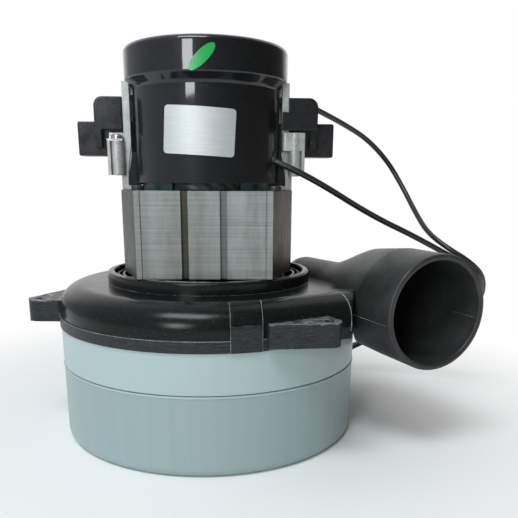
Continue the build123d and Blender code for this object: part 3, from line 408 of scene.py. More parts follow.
BLACK = (0.010, 0.011, 0.012), (0.018, 0.019, 0.021)
materials = {
    "case_paint": case_paint("case_paint", (0.285, 0.375, 0.383), 0.05),
    "case_paint_upper": case_paint("case_paint_upper", (0.39, 0.495, 0.50), 0.02),
    "bracket_plastic": bracket_plastic("bracket_plastic"),
    "horn_plastic": horn_plastic("horn_plastic"),
    "cover_plastic": cover_plastic("cover_plastic"),
    "holder_plastic": plain("holder_plastic", *BLACK, 0.16, 0.24, edge=0.0009),
    # Light grey flash, which on the collar's top also stands in for a painted highlight.
    "flash_and_highlight_plastic": plain("flash_and_highlight_plastic", (0.05, 0.055, 0.055), (0.34, 0.36, 0.36), 0.4, 0.6,
                           1500.0),
    "cast_aluminium": cast_aluminium("cast_aluminium"),
    "lamination_steel": lamination_steel("lamination_steel"),
    "bright_steel": plain("bright_steel", (0.5, 0.5, 0.5), (0.64, 0.64, 0.63), 0.2, 0.3,
                          500.0, 0.00001, 1.0),
    "dark_steel": plain("dark_steel", (0.03, 0.03, 0.03), (0.07, 0.07, 0.065), 0.3, 0.45,
                        500.0, 0.00001, 0.6),
    "fan_aluminium": plain("fan_aluminium", (0.6, 0.61, 0.62), (0.72, 0.73, 0.74), 0.3, 0.4,
                           300.0, 0.00001, 1.0),
    "copper": plain("copper", (0.42, 0.14, 0.06), (0.6, 0.22, 0.1), 0.25, 0.35, 500.0, 0.00002, 0.9),
    "coil_painted_shade": coil_in_painted_shade("coil_painted_shade"),
    "brass": plain("brass", (0.5, 0.36, 0.14), (0.62, 0.46, 0.2), 0.2, 0.3, 500.0, 0.00001, 1.0),
    "carbon": plain("carbon", (0.02, 0.02, 0.02), (0.04, 0.04, 0.04), 0.5, 0.6, 900.0, 0.00002),
    "insulation_film": plain("insulation_film", (0.006, 0.040, 0.038), (0.010, 0.056, 0.052), 0.25, 0.35),
    "fan_plastic": plain("fan_plastic", (0.015, 0.015, 0.015), (0.025, 0.025, 0.025), 0.3, 0.4),
    "seal_rubber": plain("seal_rubber", (0.012, 0.012, 0.012), (0.02, 0.02, 0.02), 0.6, 0.7),
    "label_silver": label_silver("label_silver"),
    "sticker_green": plain("sticker_green", (0.012, 0.33, 0.07), (0.02, 0.38, 0.09), 0.3, 0.36),
    "lead_insulation": plain("lead_insulation", (0.010, 0.011, 0.012), (0.016, 0.017, 0.018), 0.3, 0.42,
                             1200.0),
    "terminal_nylon": plain("terminal_nylon", (0.5, 0.49, 0.44), (0.6, 0.59, 0.54), 0.4, 0.5),
}
OWN_FINISH = {
    "upper_shell": "case_paint_upper",
    "discharge_horn": "horn_plastic",
    # The field coils' near-black colour is painted shade.
    "field_coil_front": "coil_painted_shade",
    "field_coil_rear": "coil_painted_shade",
}


def finish_mesh(obj, angle=35.0):
    """Shades a mesh smooth but for its edges over an angle."""
    obj.data.shade_smooth()
    obj.data.set_sharp_from_angle(angle=radians(angle))


for row in frame["record"]["subparts"]:
    node = nodes[row["node"]]
    node.data.materials.clear()
    node.data.materials.append(materials[OWN_FINISH.get(row["node"], row["material_slot"])])
    finish_mesh(node)


# Mesh helpers: every size in millimetres
def make_piece(name, verts, faces, finish, slot, replaced=(), between=None, angle=35.0):
    """A mesh piece attached to the housing, or left unattached when it lies between two bodies, with its
    finish and what it stands for.
    """
    mesh = bpy.data.meshes.new(name)
    mesh.from_pydata([Vector(vert) * MM for vert in verts], [], faces)
    form = bmesh.new()
    form.from_mesh(mesh)
    bmesh.ops.recalc_face_normals(form, faces=form.faces)
    form.to_mesh(mesh)
    form.free()
    piece = bpy.data.objects.new(name, mesh)
    scene.collection.objects.link(piece)
    mesh.materials.append(materials[finish])
    finish_mesh(piece, angle)
    if between:
        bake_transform(piece)
    else:
        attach(piece, "housing")
    if replaced:
        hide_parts(*replaced)
    return piece


def join_rings(rings, closed_ends=False, loop=False):
    """Vertices and faces of a skin over rings of points."""
    count = len(rings[0])
    verts = [point for ring in rings for point in ring]
    pairs = list(zip(range(len(rings) - 1), range(1, len(rings))))
    if loop:
        pairs.append((len(rings) - 1, 0))
    faces = [(a * count + i, a * count + (i + 1) % count, b * count + (i + 1) % count, b * count + i)
             for a, b in pairs for i in range(count)]
    if closed_ends:
        faces.append(tuple(range(count)))
        faces.append(tuple(range(len(verts) - count, len(verts))))
    return verts, faces


def revolve(name, profile, finish, slot, steps=192, **more):
    """A closed outline of (radius, height) points turned about the motor's axis."""
    rings = [[(r * cos(2 * pi * i / steps), r * sin(2 * pi * i / steps), z) for i in range(steps)]
             for r, z in profile]
    return make_piece(name, *join_rings(rings, loop=True), finish, slot, **more)


def turned(x, y, z=0.0, angle=0.0):
    """A point turned about the motor's axis, in degrees."""
    c, s = cos(radians(angle)), sin(radians(angle))
    return Vector((x * c - y * s, x * s + y * c, z))


# Sizes shared with the CAD, in millimetres
CASE_TURN = 3.0
CAN_R = 72.4
FLANGE_R = 73.0
FLANGE_LOW, FLANGE_TOP = 54.7, 59.7
DECK_TOP = 73.7
COLLAR_R, COLLAR_TOP = 49.5, 79.1
SEAM_Z = 36.4
STACK_LOW, STACK_TOP = 79.4, 116.8


# Discharge horn
HORN_TURN = radians(20.8)
ALONG = Vector((sin(HORN_TURN), -cos(HORN_TURN), 0))
ACROSS = Vector((cos(HORN_TURN), sin(HORN_TURN), 0))
UP = Vector((0, 0, 1))
HORN_P, HORN_Z, HORN_R, HORN_WALL = 73.0, 66.7, 25.4, 2.8
MOUTH_S, SPIGOT_BACK_S = 86.3, 61.3
SCROLL_P, SCROLL_Z, SCROLL_R = 60.0, 68.5, 12.5
SCROLL_ARC = radians(8.0)
NECK_S, NECK_P = 22.0, 63.0
SHOULDER_S, SHOULDER_P, SHOULDER_Z, SHOULDER_R = 34.5, 72.2, 65.6, 23.6
SHOULDER_TURN = radians(33.7)
CAN_CLEAR_R, CAN_CLEAR_Z = 73.9, 60.6
RIM_ROUND = 0.9
RIM_STEPS = 6
HORN_STEP = 1.5
HORN_SOFT = 4.5
CAP_RINGS, CAP_START = 12, 0.2
ARC_RINGS = 6
SPIGOT_STEP = 8


def duct_point(s, p, z):
    """A point along the horn's axis, across it and up."""
    return ALONG * s + ACROSS * p + UP * z


def horn_key(inset):
    """The horn's four main sections: place, middle, side vector and half height."""
    high = SHOULDER_R - inset
    slant = ACROSS * cos(SHOULDER_TURN) - ALONG * sin(SHOULDER_TURN)
    return [
        (0.0, duct_point(0, SCROLL_P, SCROLL_Z), ACROSS * (SCROLL_R - inset), SCROLL_R - inset),
        (NECK_S, duct_point(NECK_S, NECK_P, SCROLL_Z), ACROSS * (SCROLL_R - inset), SCROLL_R - inset),
        (SHOULDER_S, duct_point(SHOULDER_S, SHOULDER_P, SHOULDER_Z),
         slant * (high / cos(SHOULDER_TURN)), high),
        (SPIGOT_BACK_S, duct_point(SPIGOT_BACK_S, HORN_P, HORN_Z), ACROSS * (HORN_R - inset), HORN_R - inset),
    ]


def section_at(keys, s):
    """The straight blend between the two sections that a place lies between."""
    for (s0, mid0, side0, up0), (s1, mid1, side1, up1) in zip(keys, keys[1:]):
        if s <= s1:
            u = (s - s0) / (s1 - s0)
            return mid0.lerp(mid1, u), side0.lerp(side1, u), up0 + (up1 - up0) * u
    return keys[-1][1:]


def soft_section(keys, s, samples=9):
    """A section averaged over a short stretch, so that the form has no creases."""
    reach = min(HORN_SOFT, s, SPIGOT_BACK_S - s)
    places = [s + reach * (2 * i / (samples - 1) - 1) for i in range(samples)]
    found = [section_at(keys, place) for place in places]
    middle = sum((row[0] for row in found), Vector()) / samples
    side = sum((row[1] for row in found), Vector()) / samples
    return middle, side, sum(row[2] for row in found) / samples


def horn_skin(inset, steps=96):
    """Rings of the horn from its closed end to the mouth, drawn in by a wall."""
    keys = horn_key(inset)
    r = SCROLL_R - inset
    sections = []
    end = HORN_TURN + SCROLL_ARC
    end_way = Vector((sin(end), -cos(end), 0))
    end_side = Vector((cos(end), sin(end), 0))
    end_middle = end_side * SCROLL_P + UP * SCROLL_Z
    for i in range(CAP_RINGS):
        tilt = pi / 2 * (1 - (i + CAP_START) / CAP_RINGS)
        sections.append((end_middle - end_way * r * sin(tilt), end_side * r * cos(tilt), r * cos(tilt)))
    for i in range(ARC_RINGS):
        angle = end - SCROLL_ARC * i / ARC_RINGS
        side = Vector((cos(angle), sin(angle), 0))
        sections.append((side * SCROLL_P + UP * SCROLL_Z, side * r, r))
    for i in range(int(SPIGOT_BACK_S / HORN_STEP) + 1):
        sections.append(soft_section(keys, i * HORN_STEP))
    inner = HORN_R - inset
    for s in (SPIGOT_BACK_S, SPIGOT_BACK_S + SPIGOT_STEP, SPIGOT_BACK_S + 2 * SPIGOT_STEP,
              MOUTH_S - RIM_ROUND):
        sections.append((duct_point(s, HORN_P, HORN_Z), ACROSS * inner, inner))
    clear_r, clear_z = CAN_CLEAR_R + inset, CAN_CLEAR_Z + inset
    rings = []
    for middle, side, high in sections:
        ring = []
        for i in range(steps):
            turn = 2 * pi * i / steps
            point = middle + side * cos(turn) + UP * (high * sin(turn))
            out = hypot(point.x, point.y)
            if point.z < clear_z and out < clear_r:
                point = Vector((point.x * clear_r / out, point.y * clear_r / out, point.z))
            ring.append(point)
        rings.append(ring)
    return rings


def make_horn():
    """The horn's outer and inner skins, joined round its rim."""
    outer, inner = horn_skin(0.0), horn_skin(HORN_WALL)
    steps = len(outer[0])
    rim = []
    for i in range(RIM_STEPS + 1):
        turn = pi * i / RIM_STEPS
        s = MOUTH_S - RIM_ROUND + RIM_ROUND * sin(turn)
        r = HORN_R - HORN_WALL / 2 + (HORN_WALL / 2) * cos(turn)
        rim.append([duct_point(s, HORN_P, HORN_Z) + ACROSS * (r * cos(2 * pi * k / steps))
                    + UP * (r * sin(2 * pi * k / steps)) for k in range(steps)])
    rings = outer[:-1] + rim + inner[:-1][::-1]
    make_piece("horn", *join_rings(rings, closed_ends=True), "horn_plastic", "bracket_plastic",
               replaced=("discharge_horn",), angle=50.0)


make_horn()


# Lamination stack
SHEET_SHARE = 0.94
SHEET_JITTER, SHEET_SHIFT = 0.035, 0.02


def arc(r, start, stop, count):
    """Points on an arc between two angles, in degrees."""
    return [(r * cos(radians(start + (stop - start) * i / count)),
             r * sin(radians(start + (stop - start) * i / count))) for i in range(count + 1)]


def stack_outline():
    """The outline of one sheet, with its grooves, score lines and cut corners."""
    quarter = [(0, -STACK_Y), (GROOVE_IN, -STACK_Y), (GROOVE_IN, -STACK_Y + GROOVE_DEPTH),
               (GROOVE_OUT, -STACK_Y + GROOVE_DEPTH), (GROOVE_OUT, -STACK_Y),
               (LINE_X - LINE_WIDE, -STACK_Y), (LINE_X - LINE_WIDE, -STACK_Y + LINE_WIDE),
               (LINE_X, -STACK_Y + LINE_WIDE), (LINE_X, -STACK_Y),
               (FRONT_FLAT_X, -STACK_Y), (STACK_X, -SIDE_FLAT_Y)]
    right = quarter + [(x, -y) for x, y in reversed(quarter)]
    full = right + [(-x, y) for x, y in reversed(right[1:-1])]
    return [tuple(turned(x, y, 0, STACK_TURN))[:2] for x, y in full]


def stack_void():
    """The bore and the two windows, as one outline."""
    half = []
    for side in (0, 180):
        half += arc(WINDOW_R, side - WINDOW_HALF, side + WINDOW_HALF, 20)
        half += arc(POLE_TIP_R, side + WINDOW_HALF, side + TIP_HALF, 2)
        half += arc(BORE_R, side + TIP_HALF, side + 180 - TIP_HALF, 10)
        half += arc(POLE_TIP_R, side + 180 - TIP_HALF, side + 180 - WINDOW_HALF, 2)
    return half


def sheet_mesh():
    """One sheet as a filled outline with its holes, given a thickness."""
    pitch = (STACK_TOP - STACK_LOW) / SHEETS
    data = bpy.data.curves.new("sheet", "CURVE")
    data.dimensions = "2D"
    data.fill_mode = "BOTH"
    data.extrude = pitch * SHEET_SHARE / 2 * MM
    holes = [[(x + dx, y + dy) for dx, dy in arc(BOLT_HOLE_R, 0, 330, 11)] for x, y in BOLTS]
    for outline in [stack_outline(), stack_void()] + holes:
        spline = data.splines.new("POLY")
        spline.points.add(len(outline) - 1)
        for point, (x, y) in zip(spline.points, outline):
            point.co = (x * MM, y * MM, 0, 1)
        spline.use_cyclic_u = True
    holder = bpy.data.objects.new("sheet", data)
    mesh = bpy.data.meshes.new_from_object(holder)
    bpy.data.objects.remove(holder)
    return mesh


def make_stack():
    """Loose-edged sheets, each a hair larger or smaller than the next."""
    rng = random.Random(4)
    sheet = sheet_mesh()
    pitch = (STACK_TOP - STACK_LOW) / SHEETS
    verts, faces = [], []
    for i in range(SHEETS):
        grow = 1 - rng.uniform(0, SHEET_JITTER) / STACK_Y
        shift = Vector((rng.uniform(-SHEET_SHIFT, SHEET_SHIFT), 0, 0))
        base = len(verts)
        middle = Vector((0, 0, STACK_LOW + pitch * (i + 0.5)))
        for vert in sheet.vertices:
            flat = Vector((vert.co.x * grow, vert.co.y * grow, vert.co.z)) / MM
            verts.append(flat + middle + shift)
        faces += [tuple(base + k for k in face.vertices) for face in sheet.polygons]
    make_piece("lamination_stack", verts, faces, "lamination_steel", "lamination_steel",
               replaced=("stator_core",), angle=20.0)


make_stack()


# Moulding flash, one ring of it also a painted highlight, seams and rims
FLASH_ROOT, FLASH_LEAN = 0.15, 0.6
FLASH_START, FLASH_LEAST, FLASH_CHANGE = 0.5, 0.15, 0.3


def make_flash(name, points, out, high, seed, wide=0.16, closed=False, step=0.7, finish="flash_and_highlight_plastic"):
    """A ragged ridge of flash along a line, standing out of its surface."""
    rng = random.Random(seed)
    line = []
    points = [Vector(point) for point in points]
    spans = list(zip(points, points[1:] + points[:1] if closed else points[1:]))
    for start, stop in spans:
        count = max(1, int((stop - start).length / step))
        line += [start.lerp(stop, i / count) for i in range(count)]
    if not closed:
        line.append(points[-1])
    rings = []
    tall = FLASH_START
    for i, place in enumerate(line):
        before = line[i - 1] if i or closed else place
        after = line[(i + 1) % len(line)] if i + 1 < len(line) or closed else place
        way = (after - before).normalized()
        normal = out(place) if callable(out) else Vector(out)
        normal = normal.normalized()
        side = way.cross(normal).normalized() * wide
        tall = min(1.0, max(FLASH_LEAST, tall + rng.uniform(-FLASH_CHANGE, FLASH_CHANGE)))
        root = place - normal * FLASH_ROOT
        rings.append([root - side, root + side, place + normal * (high * tall)
                      + side * rng.uniform(-FLASH_LEAN, FLASH_LEAN)])
    verts, faces = join_rings(rings, closed_ends=not closed, loop=closed)
    make_piece(name, verts, faces, finish, "bracket_plastic", angle=60.0)


def radial(lift=0.0):
    """An outward way from the motor's axis, tipped up by a share."""
    return lambda place: Vector((place.x, place.y, 0)).normalized() + UP * lift


def circle(r, z, count=180):
    """A level ring of points round the motor's axis."""
    return [(r * cos(2 * pi * i / count), r * sin(2 * pi * i / count), z) for i in range(count)]


EAR_FRONT, EAR_START, EAR_END_X, EAR_END_R = 72.6, 21.5, 46.6, 5.2
EAR_LOW, EAR_TOP = 55.8, 66.0
EAR_COUNT = 3
EAR_BACK = (45.6, -52.0)


def ear_edge(z, turn):
    """The ear's outer edge, from its root round the boss to its back."""
    boss = [(EAR_END_X + EAR_END_R * cos(radians(a)),
             -EAR_FRONT + EAR_END_R + EAR_END_R * sin(radians(a))) for a in range(-90, 11, 10)]
    outline = [(EAR_START, -EAR_FRONT)] + boss + [EAR_BACK]
    return [turned(x, y, z, turn) for x, y in outline]


for number in range(EAR_COUNT):
    turn = CASE_TURN + 360 / EAR_COUNT * number
    out = radial(0.4)
    make_flash(f"ear_{number + 1}_top_flash", ear_edge(EAR_TOP, turn), out, 0.45, 11 + number)
    make_flash(f"ear_{number + 1}_low_flash", ear_edge(EAR_LOW, turn)[:9], radial(-0.4), 0.35, 21 + number)


PANEL_LEFT, PANEL_RIGHT, PANEL_R, PANEL_TOP = 6.0, 19.0, 73.5, 74.0
SHOULDER_ROUND = 11.0


def panel_edge(x):
    """An upright edge of the panel: up its wall, then round its shoulder."""
    rounded = [(PANEL_R - SHOULDER_ROUND * (1 - cos(a)), PANEL_TOP - SHOULDER_ROUND * (1 - sin(a)))
               for a in (radians(angle) for angle in range(0, 81, 10))]
    return [turned(x, -sqrt(r * r - x * x), z, CASE_TURN) for r, z in [(PANEL_R, FLANGE_LOW)] + rounded]


make_flash("panel_right_flash", panel_edge(PANEL_RIGHT), radial(0.3), 0.5, 31, wide=0.2)
make_flash("panel_left_flash", panel_edge(PANEL_LEFT), radial(0.3), 0.06, 32)


# The duct root: its front face, and its ridge where the rounded shoulder ends
ROOT_START, ROOT_END, ROOT_BACK = (32.87, -64.51), (62.63, -49.35), (66.63, -33.35)
ROOT_IN = -Vector(ROOT_WAY)


def root_point(corner, angle):
    """A point on the root's rounded shoulder, from its wall up to its ridge."""
    a = radians(angle)
    return (Vector((*corner, DECK_TOP - SHOULDER_ROUND * (1 - sin(a))))
            + ROOT_IN * (SHOULDER_ROUND * (1 - cos(a))))


make_flash("duct_ridge_flash", [root_point(ROOT_START, 88), root_point(ROOT_END, 88)],
           UP - ROOT_IN * 0.3, 0.3, 41, wide=0.2)
make_flash("duct_back_flash", [root_point(ROOT_END, 90), (*ROOT_BACK, DECK_TOP)], (0.5, 0, 1), 0.3, 43)
make_flash("duct_end_flash",
           [(*ROOT_END, EAR_TOP - 8)] + [root_point(ROOT_END, a) for a in range(0, 91, 10)],
           (0.9, -0.3, 0.4), 0.35, 42)
make_flash("collar_base_flash", circle(COLLAR_R, DECK_TOP), radial(1.0), 0.12, 51, closed=True)
# Painted highlight in part: the light grey flash ring on the collar's top also stands for the bright
# highlight along its edge.
make_flash("collar_top_flash_and_highlight", circle(COLLAR_R - 3.0, COLLAR_TOP), UP, 0.3, 52, closed=True)
make_flash("flange_flash", circle(FLANGE_R, FLANGE_TOP), radial(1.0), 0.2, 53, closed=True)


PARTING_DROP = 3.9
PARTING_TAPER = 0.067
INNER_SHARE = 0.985


def parting_line():
    """The horn's parting line along the side that faces the motor."""
    line = []
    for s in range(56, 86, 2):
        r = HORN_R if s > SPIGOT_BACK_S else HORN_R - PARTING_TAPER * (SPIGOT_BACK_S - s)
        reach = sqrt(r * r - PARTING_DROP * PARTING_DROP)
        line.append(duct_point(s, HORN_P - reach, HORN_Z - PARTING_DROP))
    return line


make_flash("horn_parting_flash", parting_line(), -ACROSS, 0.4, 61)
make_flash("horn_far_flash", [duct_point(s, HORN_P + HORN_R, HORN_Z) for s in range(62, 86, 2)],
           ACROSS, 0.35, 62)
make_flash("horn_inner_flash",
           [duct_point(s, HORN_P + (HORN_R - HORN_WALL) * INNER_SHARE, HORN_Z - PARTING_DROP)
            for s in range(70, 86, 2)],
           -ACROSS, 0.35, 63)

SEAM_BEAD = 0.3
revolve("seam_bead", [(CAN_R - 0.1, SEAM_Z - 1.0), (CAN_R + SEAM_BEAD * 0.7, SEAM_Z - 0.9),
                      (CAN_R + SEAM_BEAD, SEAM_Z - 0.55), (CAN_R + SEAM_BEAD * 0.7, SEAM_Z - 0.2),
                      (CAN_R - 0.1, SEAM_Z - 0.1)], "case_paint_upper", "case_paint")


# Label and sticker: bare films bent round the cover
SKIRT_R, BAND_R = 34.3, 37.5
LABEL_WIDE, LABEL_HIGH, LABEL_CORNER = 30.3, 19.5, 1.5
LABEL_PLACE, LABEL_TURN = (-2.5, 141.25), -3.3
STICKER_WIDE, STICKER_HIGH = 14.4, 4.9
STICKER_PLACE, STICKER_TURN = (-0.9, 169.4), 43.0
FILM = 0.15
FILM_STEPS = 24
FILM_CENTRE = 0.02


def make_film(name, outline, radius, place, turn, finish, replaced):
    """A film whose outline, seen from the front, is bent round the cover."""
    rings = []
    for lift, shares in ((FILM, range(FILM_STEPS + 1)), (0.0, range(FILM_STEPS, -1, -1))):
        for share in shares:
            size = max(share, FILM_CENTRE)
            ring = []
            for x, y in outline:
                spot = turned(x * size / FILM_STEPS, y * size / FILM_STEPS, 0, turn)
                across = spot.x + place[0]
                deep = sqrt((radius + lift) ** 2 - across ** 2)
                ring.append(Vector((across, -deep, spot.y + place[1])))
            rings.append(ring)
    make_piece(name, *join_rings(rings, closed_ends=True), finish, finish, replaced=(replaced,))


def rounded_box(wide, high, corner):
    """A rounded rectangle about its middle."""
    corners = []
    for x, y, start in ((1, 1, 0), (-1, 1, 90), (-1, -1, 180), (1, -1, 270)):
        middle = x * (wide / 2 - corner), y * (high / 2 - corner)
        corners += [Vector((middle[0] + dx, middle[1] + dy)) for dx, dy in arc(corner, start, start + 90, 6)]
    points = []
    for here, after in zip(corners, corners[1:] + corners[:1]):
        count = max(1, int((after - here).length))
        points += [tuple(here.lerp(after, i / count)) for i in range(count)]
    return points


make_film("label_film", rounded_box(LABEL_WIDE, LABEL_HIGH, LABEL_CORNER), SKIRT_R, LABEL_PLACE,
          LABEL_TURN, "label_silver", "rating_label")
make_film("sticker_film", [(x * STICKER_WIDE, y * STICKER_HIGH) for x, y in arc(0.5, 0, 354, 59)],
          BAND_R, STICKER_PLACE, STICKER_TURN, "sticker_green", "inspection_sticker")


# The cover's side webs, between its skirt and the legs of the commutator bracket
WEB_OUTLINE = [(30.7, 118.9), (36.0, 118.9), (36.0, 124.5), (34.15, 133.5), (32.0, 133.5), (32.0, 120.3),
               (30.7, 120.3)]
WEB_Y = 9.5, 9.9


def make_webs():
    """Four upright webs, as one piece."""
    verts, faces = [], []
    for side in (-1, 1):
        for end in (-1, 1):
            rings = [[Vector((side * x, end * y, z)) for x, z in WEB_OUTLINE] for y in WEB_Y]
            web_verts, web_faces = join_rings(rings, closed_ends=True)
            faces += [tuple(len(verts) + k for k in face) for face in web_faces]
            verts += web_verts
    make_piece("cover_side_webs", verts, faces, "cover_plastic", "cover_plastic")


make_webs()


# Brush springs, between the brush and the tube's end
SPRING_IN, SPRING_OUT, SPRING_Z = 45.05, 57.05, 139.3
SPRING_R, SPRING_WIRE_R, SPRING_TURNS = 2.3, 0.35, 8
SPRING_STEPS, WIRE_STEPS = 20, 8


def make_spring(side, name):
    """A coil of wire from the brush to the tube's end."""
    length = SPRING_OUT - SPRING_IN
    rings = []
    for i in range(SPRING_TURNS * SPRING_STEPS + 1):
        turn = 2 * pi * i / SPRING_STEPS
        out = Vector((0, cos(turn), sin(turn)))
        along = SPRING_IN + length * turn / (2 * pi * SPRING_TURNS)
        middle = Vector((side * along, 0, SPRING_Z)) + out * SPRING_R
        ring = []
        for k in range(WIRE_STEPS):
            angle = 2 * pi * k / WIRE_STEPS
            ring.append(middle + out * (SPRING_WIRE_R * cos(angle))
                        + Vector((SPRING_WIRE_R * sin(angle), 0, 0)))
        rings.append(ring)
    ends = [(side * x * MM, 0, SPRING_Z * MM) for x in (SPRING_IN, SPRING_OUT)]
    make_piece(f"spring_{name}", *join_rings(rings, closed_ends=True), "bright_steel", "bright_steel",
               replaced=(f"brush_spring_{name}",), between=(f"brush_{name}", "housing", *ends))


make_spring(-1, "left")
make_spring(1, "right")


# Clamp screws with pan heads and cross recesses
CLAMP_X, CLAMP_Y, CLAMP_SEAT = 40.5, 11.0, 139.1
CLAMP_HEAD_R, CLAMP_HEAD_H, CLAMP_SHANK_R, CLAMP_LONG = 2.6, 1.9, 1.5, 8.9
CLAMP_HEAD_ROUND, CLAMP_TIP, CLAMP_CENTRE_R = 1.1, 0.6, 0.01
RECESS_WIDE, RECESS_LONG, RECESS_DEEP = 0.7, 2.9, 1.1


def make_screw(name, place, turn):
    """A pan head on its shank, with a cross cut into its crown."""
    crown = [(CLAMP_HEAD_R - CLAMP_HEAD_ROUND + CLAMP_HEAD_ROUND * sin(a),
              CLAMP_HEAD_H - CLAMP_HEAD_ROUND + CLAMP_HEAD_ROUND * cos(a))
             for a in (pi / 2 * i / 6 for i in range(7))]
    shank = [(CLAMP_HEAD_R, 0.0), (CLAMP_SHANK_R, 0.0), (CLAMP_SHANK_R, -CLAMP_LONG + CLAMP_TIP),
             (CLAMP_SHANK_R - CLAMP_TIP, -CLAMP_LONG), (CLAMP_CENTRE_R, -CLAMP_LONG)]
    profile = [(CLAMP_CENTRE_R, CLAMP_HEAD_H)] + crown + shank
    steps = 40
    rings = [[Vector((r * cos(2 * pi * i / steps), r * sin(2 * pi * i / steps), z)) + Vector(place)
              for i in range(steps)] for r, z in profile]
    piece = make_piece(name, *join_rings(rings, closed_ends=True), "bright_steel", "bright_steel")
    cutter = bpy.data.meshes.new("cutter")
    form = bmesh.new()
    for angle in (turn, turn + 90):
        made = bmesh.ops.create_cube(form, size=1.0)
        for vert in made["verts"]:
            flat = turned(vert.co.x * RECESS_LONG, vert.co.y * RECESS_WIDE, 0, angle)
            vert.co = (flat + UP * (vert.co.z * 2 * RECESS_DEEP + CLAMP_HEAD_H) + Vector(place)) * MM
    form.to_mesh(cutter)
    form.free()
    tool = bpy.data.objects.new("cutter", cutter)
    scene.collection.objects.link(tool)
    cut = piece.modifiers.new("cross", "BOOLEAN")
    cut.operation = "DIFFERENCE"
    cut.object = tool
    cut.use_self = True
    shape = bpy.data.meshes.new_from_object(piece.evaluated_get(bpy.context.evaluated_depsgraph_get()))
    piece.modifiers.clear()
    piece.data = shape
    bpy.data.objects.remove(tool)
    finish_mesh(piece)
    return piece


screws = [make_screw("clamp_screw_left", (-CLAMP_X, -CLAMP_Y, CLAMP_SEAT), 25),
          make_screw("clamp_screw_right", (CLAMP_X, CLAMP_Y, CLAMP_SEAT), 60)]
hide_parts("clamp_screws")


# Leads, at the routes of the CAD tubes
LEAD_R = 1.4
ROUTE_A = [
    (30.9, -16.2, 129.8), (37.6, -17.9, 126.9), (46.8, -18.4, 122.6), (58.0, -14.6, 116.8),
    (71.5, -6.0, 109.6), (85.6, 1.2, 102.6), (102.4, 5.3, 95.2), (120.7, 8.8, 86.2),
    (137.1, 11.7, 78.0), (148.3, 17.8, 69.0), (151.1, 30.0, 54.0), (141.9, 44.5, 41.0),
    (123.2, 56.5, 32.0), (101.7, 65.4, 26.0), (83.3, 72.5, 14.5), (67.0, 78.1, 5.0),
    (48.7, 82.7, 1.6), (31.5, 86.8, 2.5), (13.4, 87.8, 2.5),
]
ROUTE_B = [
    (32.4, 16.3, 157.0), (38.6, 20.2, 159.6), (46.7, 25.9, 160.4), (58.3, 34.6, 156.6),
    (73.6, 47.9, 151.6), (89.9, 60.8, 144.8), (104.1, 67.0, 133.0), (112.9, 62.0, 118.0),
    (117.1, 48.2, 104.5), (120.0, 32.3, 94.0), (128.1, 21.2, 86.6), (141.2, 18.9, 79.0),
    (151.9, 24.5, 69.5), (156.3, 37.2, 54.0), (147.4, 52.8, 40.5), (128.3, 65.3, 31.0),
    (105.7, 74.6, 25.0), (86.8, 82.2, 14.0), (70.0, 88.3, 5.0), (51.2, 93.8, 1.6),
    (32.9, 98.4, 2.5), (14.8, 99.9, 2.5),
]


def make_lead(letter, route):
    """A lead on one smooth curve, in place of its CAD tube."""
    data = bpy.data.curves.new(f"lead_{letter}", "CURVE")
    data.dimensions = "3D"
    data.bevel_depth = LEAD_R * MM
    data.bevel_resolution = 8
    data.resolution_u = 16
    data.use_fill_caps = True
    spline = data.splines.new("NURBS")
    spline.points.add(len(route) - 1)
    for point, place in zip(spline.points, route):
        point.co = (*(Vector(place) * MM), 1.0)
    spline.order_u = 3
    spline.use_endpoint_u = True
    lead = bpy.data.objects.new(f"lead_{letter}", data)
    scene.collection.objects.link(lead)
    data.materials.append(materials["lead_insulation"])
    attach(lead, "housing")
    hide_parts(f"lead_wire_{letter}")


make_lead("a", ROUTE_A)
make_lead("b", ROUTE_B)


# Floor, backdrop and light, in metres
FLOOR_HALF = 6.0
FADE_START, FADE_STOP = 0.085, 0.26


def make_floor():
    """A pale floor that fades into the white backdrop away from the object."""
    mesh = bpy.data.meshes.new("floor")
    corners = [(x * FLOOR_HALF, y * FLOOR_HALF, 0) for x, y in ((-1, -1), (1, -1), (1, 1), (-1, 1))]
    mesh.from_pydata(corners, [], [(0, 1, 2, 3)])
    floor = bpy.data.objects.new("floor", mesh)
    scene.collection.objects.link(floor)
    shader = Shader("floor")
    shader.set(Roughness=0.7)
    shader.bsdf.inputs["Base Color"].default_value = (0.92, 0.92, 0.92, 1)
    fade = shader.span(shader.radius(), FADE_START, FADE_STOP)
    glow = shader.add("ShaderNodeEmission")
    mixer = shader.add("ShaderNodeMixShader")
    shader.link(fade, mixer.inputs["Fac"])
    shader.link(shader.bsdf.outputs["BSDF"], mixer.inputs[1])
    shader.link(glow.outputs["Emission"], mixer.inputs[2])
    path = shader.add("ShaderNodeLightPath")
    seen = shader.math("MAXIMUM", path.outputs["Is Camera Ray"], path.outputs["Is Glossy Ray"])
    seen = shader.math("MAXIMUM", seen, path.outputs["Is Transmission Ray"])
    chooser = shader.add("ShaderNodeMixShader")
    shader.link(seen, chooser.inputs["Fac"])
    shader.link(shader.bsdf.outputs["BSDF"], chooser.inputs[1])
    shader.link(mixer.outputs["Shader"], chooser.inputs[2])
    shader.link(chooser.outputs["Shader"], shader.tree.nodes["Material Output"].inputs["Surface"])
    mesh.materials.append(shader.material)


class Sky(Shader):
    """The world's node tree, with a material's short calls."""

    def __init__(self, world):
        world.use_nodes = True
        self.tree = world.node_tree
        self.background = self.tree.nodes["Background"]
        self.place = self.add("ShaderNodeTexCoord").outputs["Generated"]


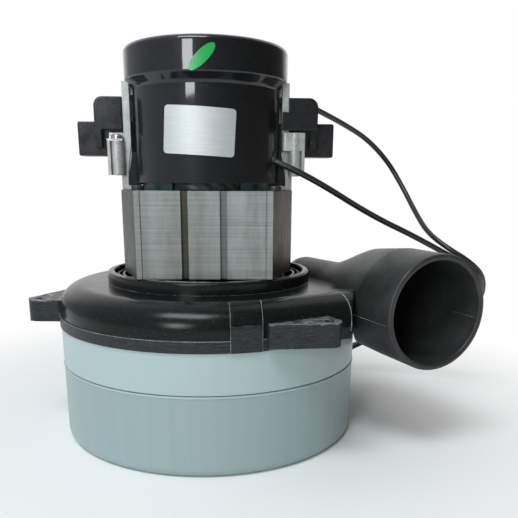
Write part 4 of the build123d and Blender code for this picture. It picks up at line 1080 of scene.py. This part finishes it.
def make_world():
    """White to the camera, and for reflections white behind and dim in front."""
    world = bpy.data.worlds.new("world")
    scene.world = world
    sky = Sky(world)
    sideways = sky.span(sky.axis("X"), -1.0, 1.0)
    dim = sky.ramp(sideways, [(0.03, (0.44, 0.47, 0.50)), (0.2, (0.30, 0.325, 0.35)),
                              (0.4, (0.19, 0.205, 0.22)), (0.6, (0.13, 0.125, 0.115)),
                              (0.97, (0.06, 0.055, 0.035))])
    bright = sky.ramp(sideways, [(0.15, (0.62, 0.64, 0.67)), (0.45, (0.22, 0.225, 0.225)),
                                 (0.9, (0.12, 0.12, 0.09))])
    overhead = sky.span(sky.axis("Z"), 0.15, 0.75)
    high = sky.math("MULTIPLY", sky.axis("Z"), 0.9)
    behind = sky.span(sky.math("ADD", sky.axis("Y"), high), 0.8, 1.02)
    room = sky.mix(sky.math("MAXIMUM", overhead, behind), dim, bright)
    path = sky.add("ShaderNodeLightPath")
    mirrored = sky.math("MAXIMUM", path.outputs["Is Glossy Ray"], path.outputs["Is Transmission Ray"])
    backdrop = sky.math("MULTIPLY", mirrored, behind)
    seen = sky.math("MAXIMUM", path.outputs["Is Camera Ray"], backdrop)
    sky.link(sky.mix(seen, room, (1.0, 1.0, 1.0)), sky.background.inputs["Color"])


def make_lamp(name, place, target, wide, high, power, colour=(1, 1, 1), mirrored=True):
    """A rectangular soft lamp aimed at a point."""
    data = bpy.data.lights.new(name, "AREA")
    data.shape = "RECTANGLE"
    data.size = wide
    data.size_y = high
    data.energy = power
    data.color = colour
    lamp = bpy.data.objects.new(name, data)
    scene.collection.objects.link(lamp)
    lamp.location = place
    lamp.rotation_euler = (Vector(target) - Vector(place)).to_track_quat("-Z", "Y").to_euler()
    lamp.visible_glossy = mirrored


make_floor()
make_world()
make_lamp("window", (-0.49, -1.17, 0.51), (0, 0, 0.51), 0.3, 0.4, 5.3, (0.97, 0.99, 1.0))
make_lamp("ceiling", (-0.30, -0.66, 1.30), (0, 0, 0.06), 0.7, 0.4, 12.0, (0.9, 0.97, 1.0))
make_lamp("front_fill", (-0.3, -1.5, 0.6), (0, 0, 0.08), 1.2, 0.9, 0.8, mirrored=False)

scene.view_settings.view_transform = "Standard"
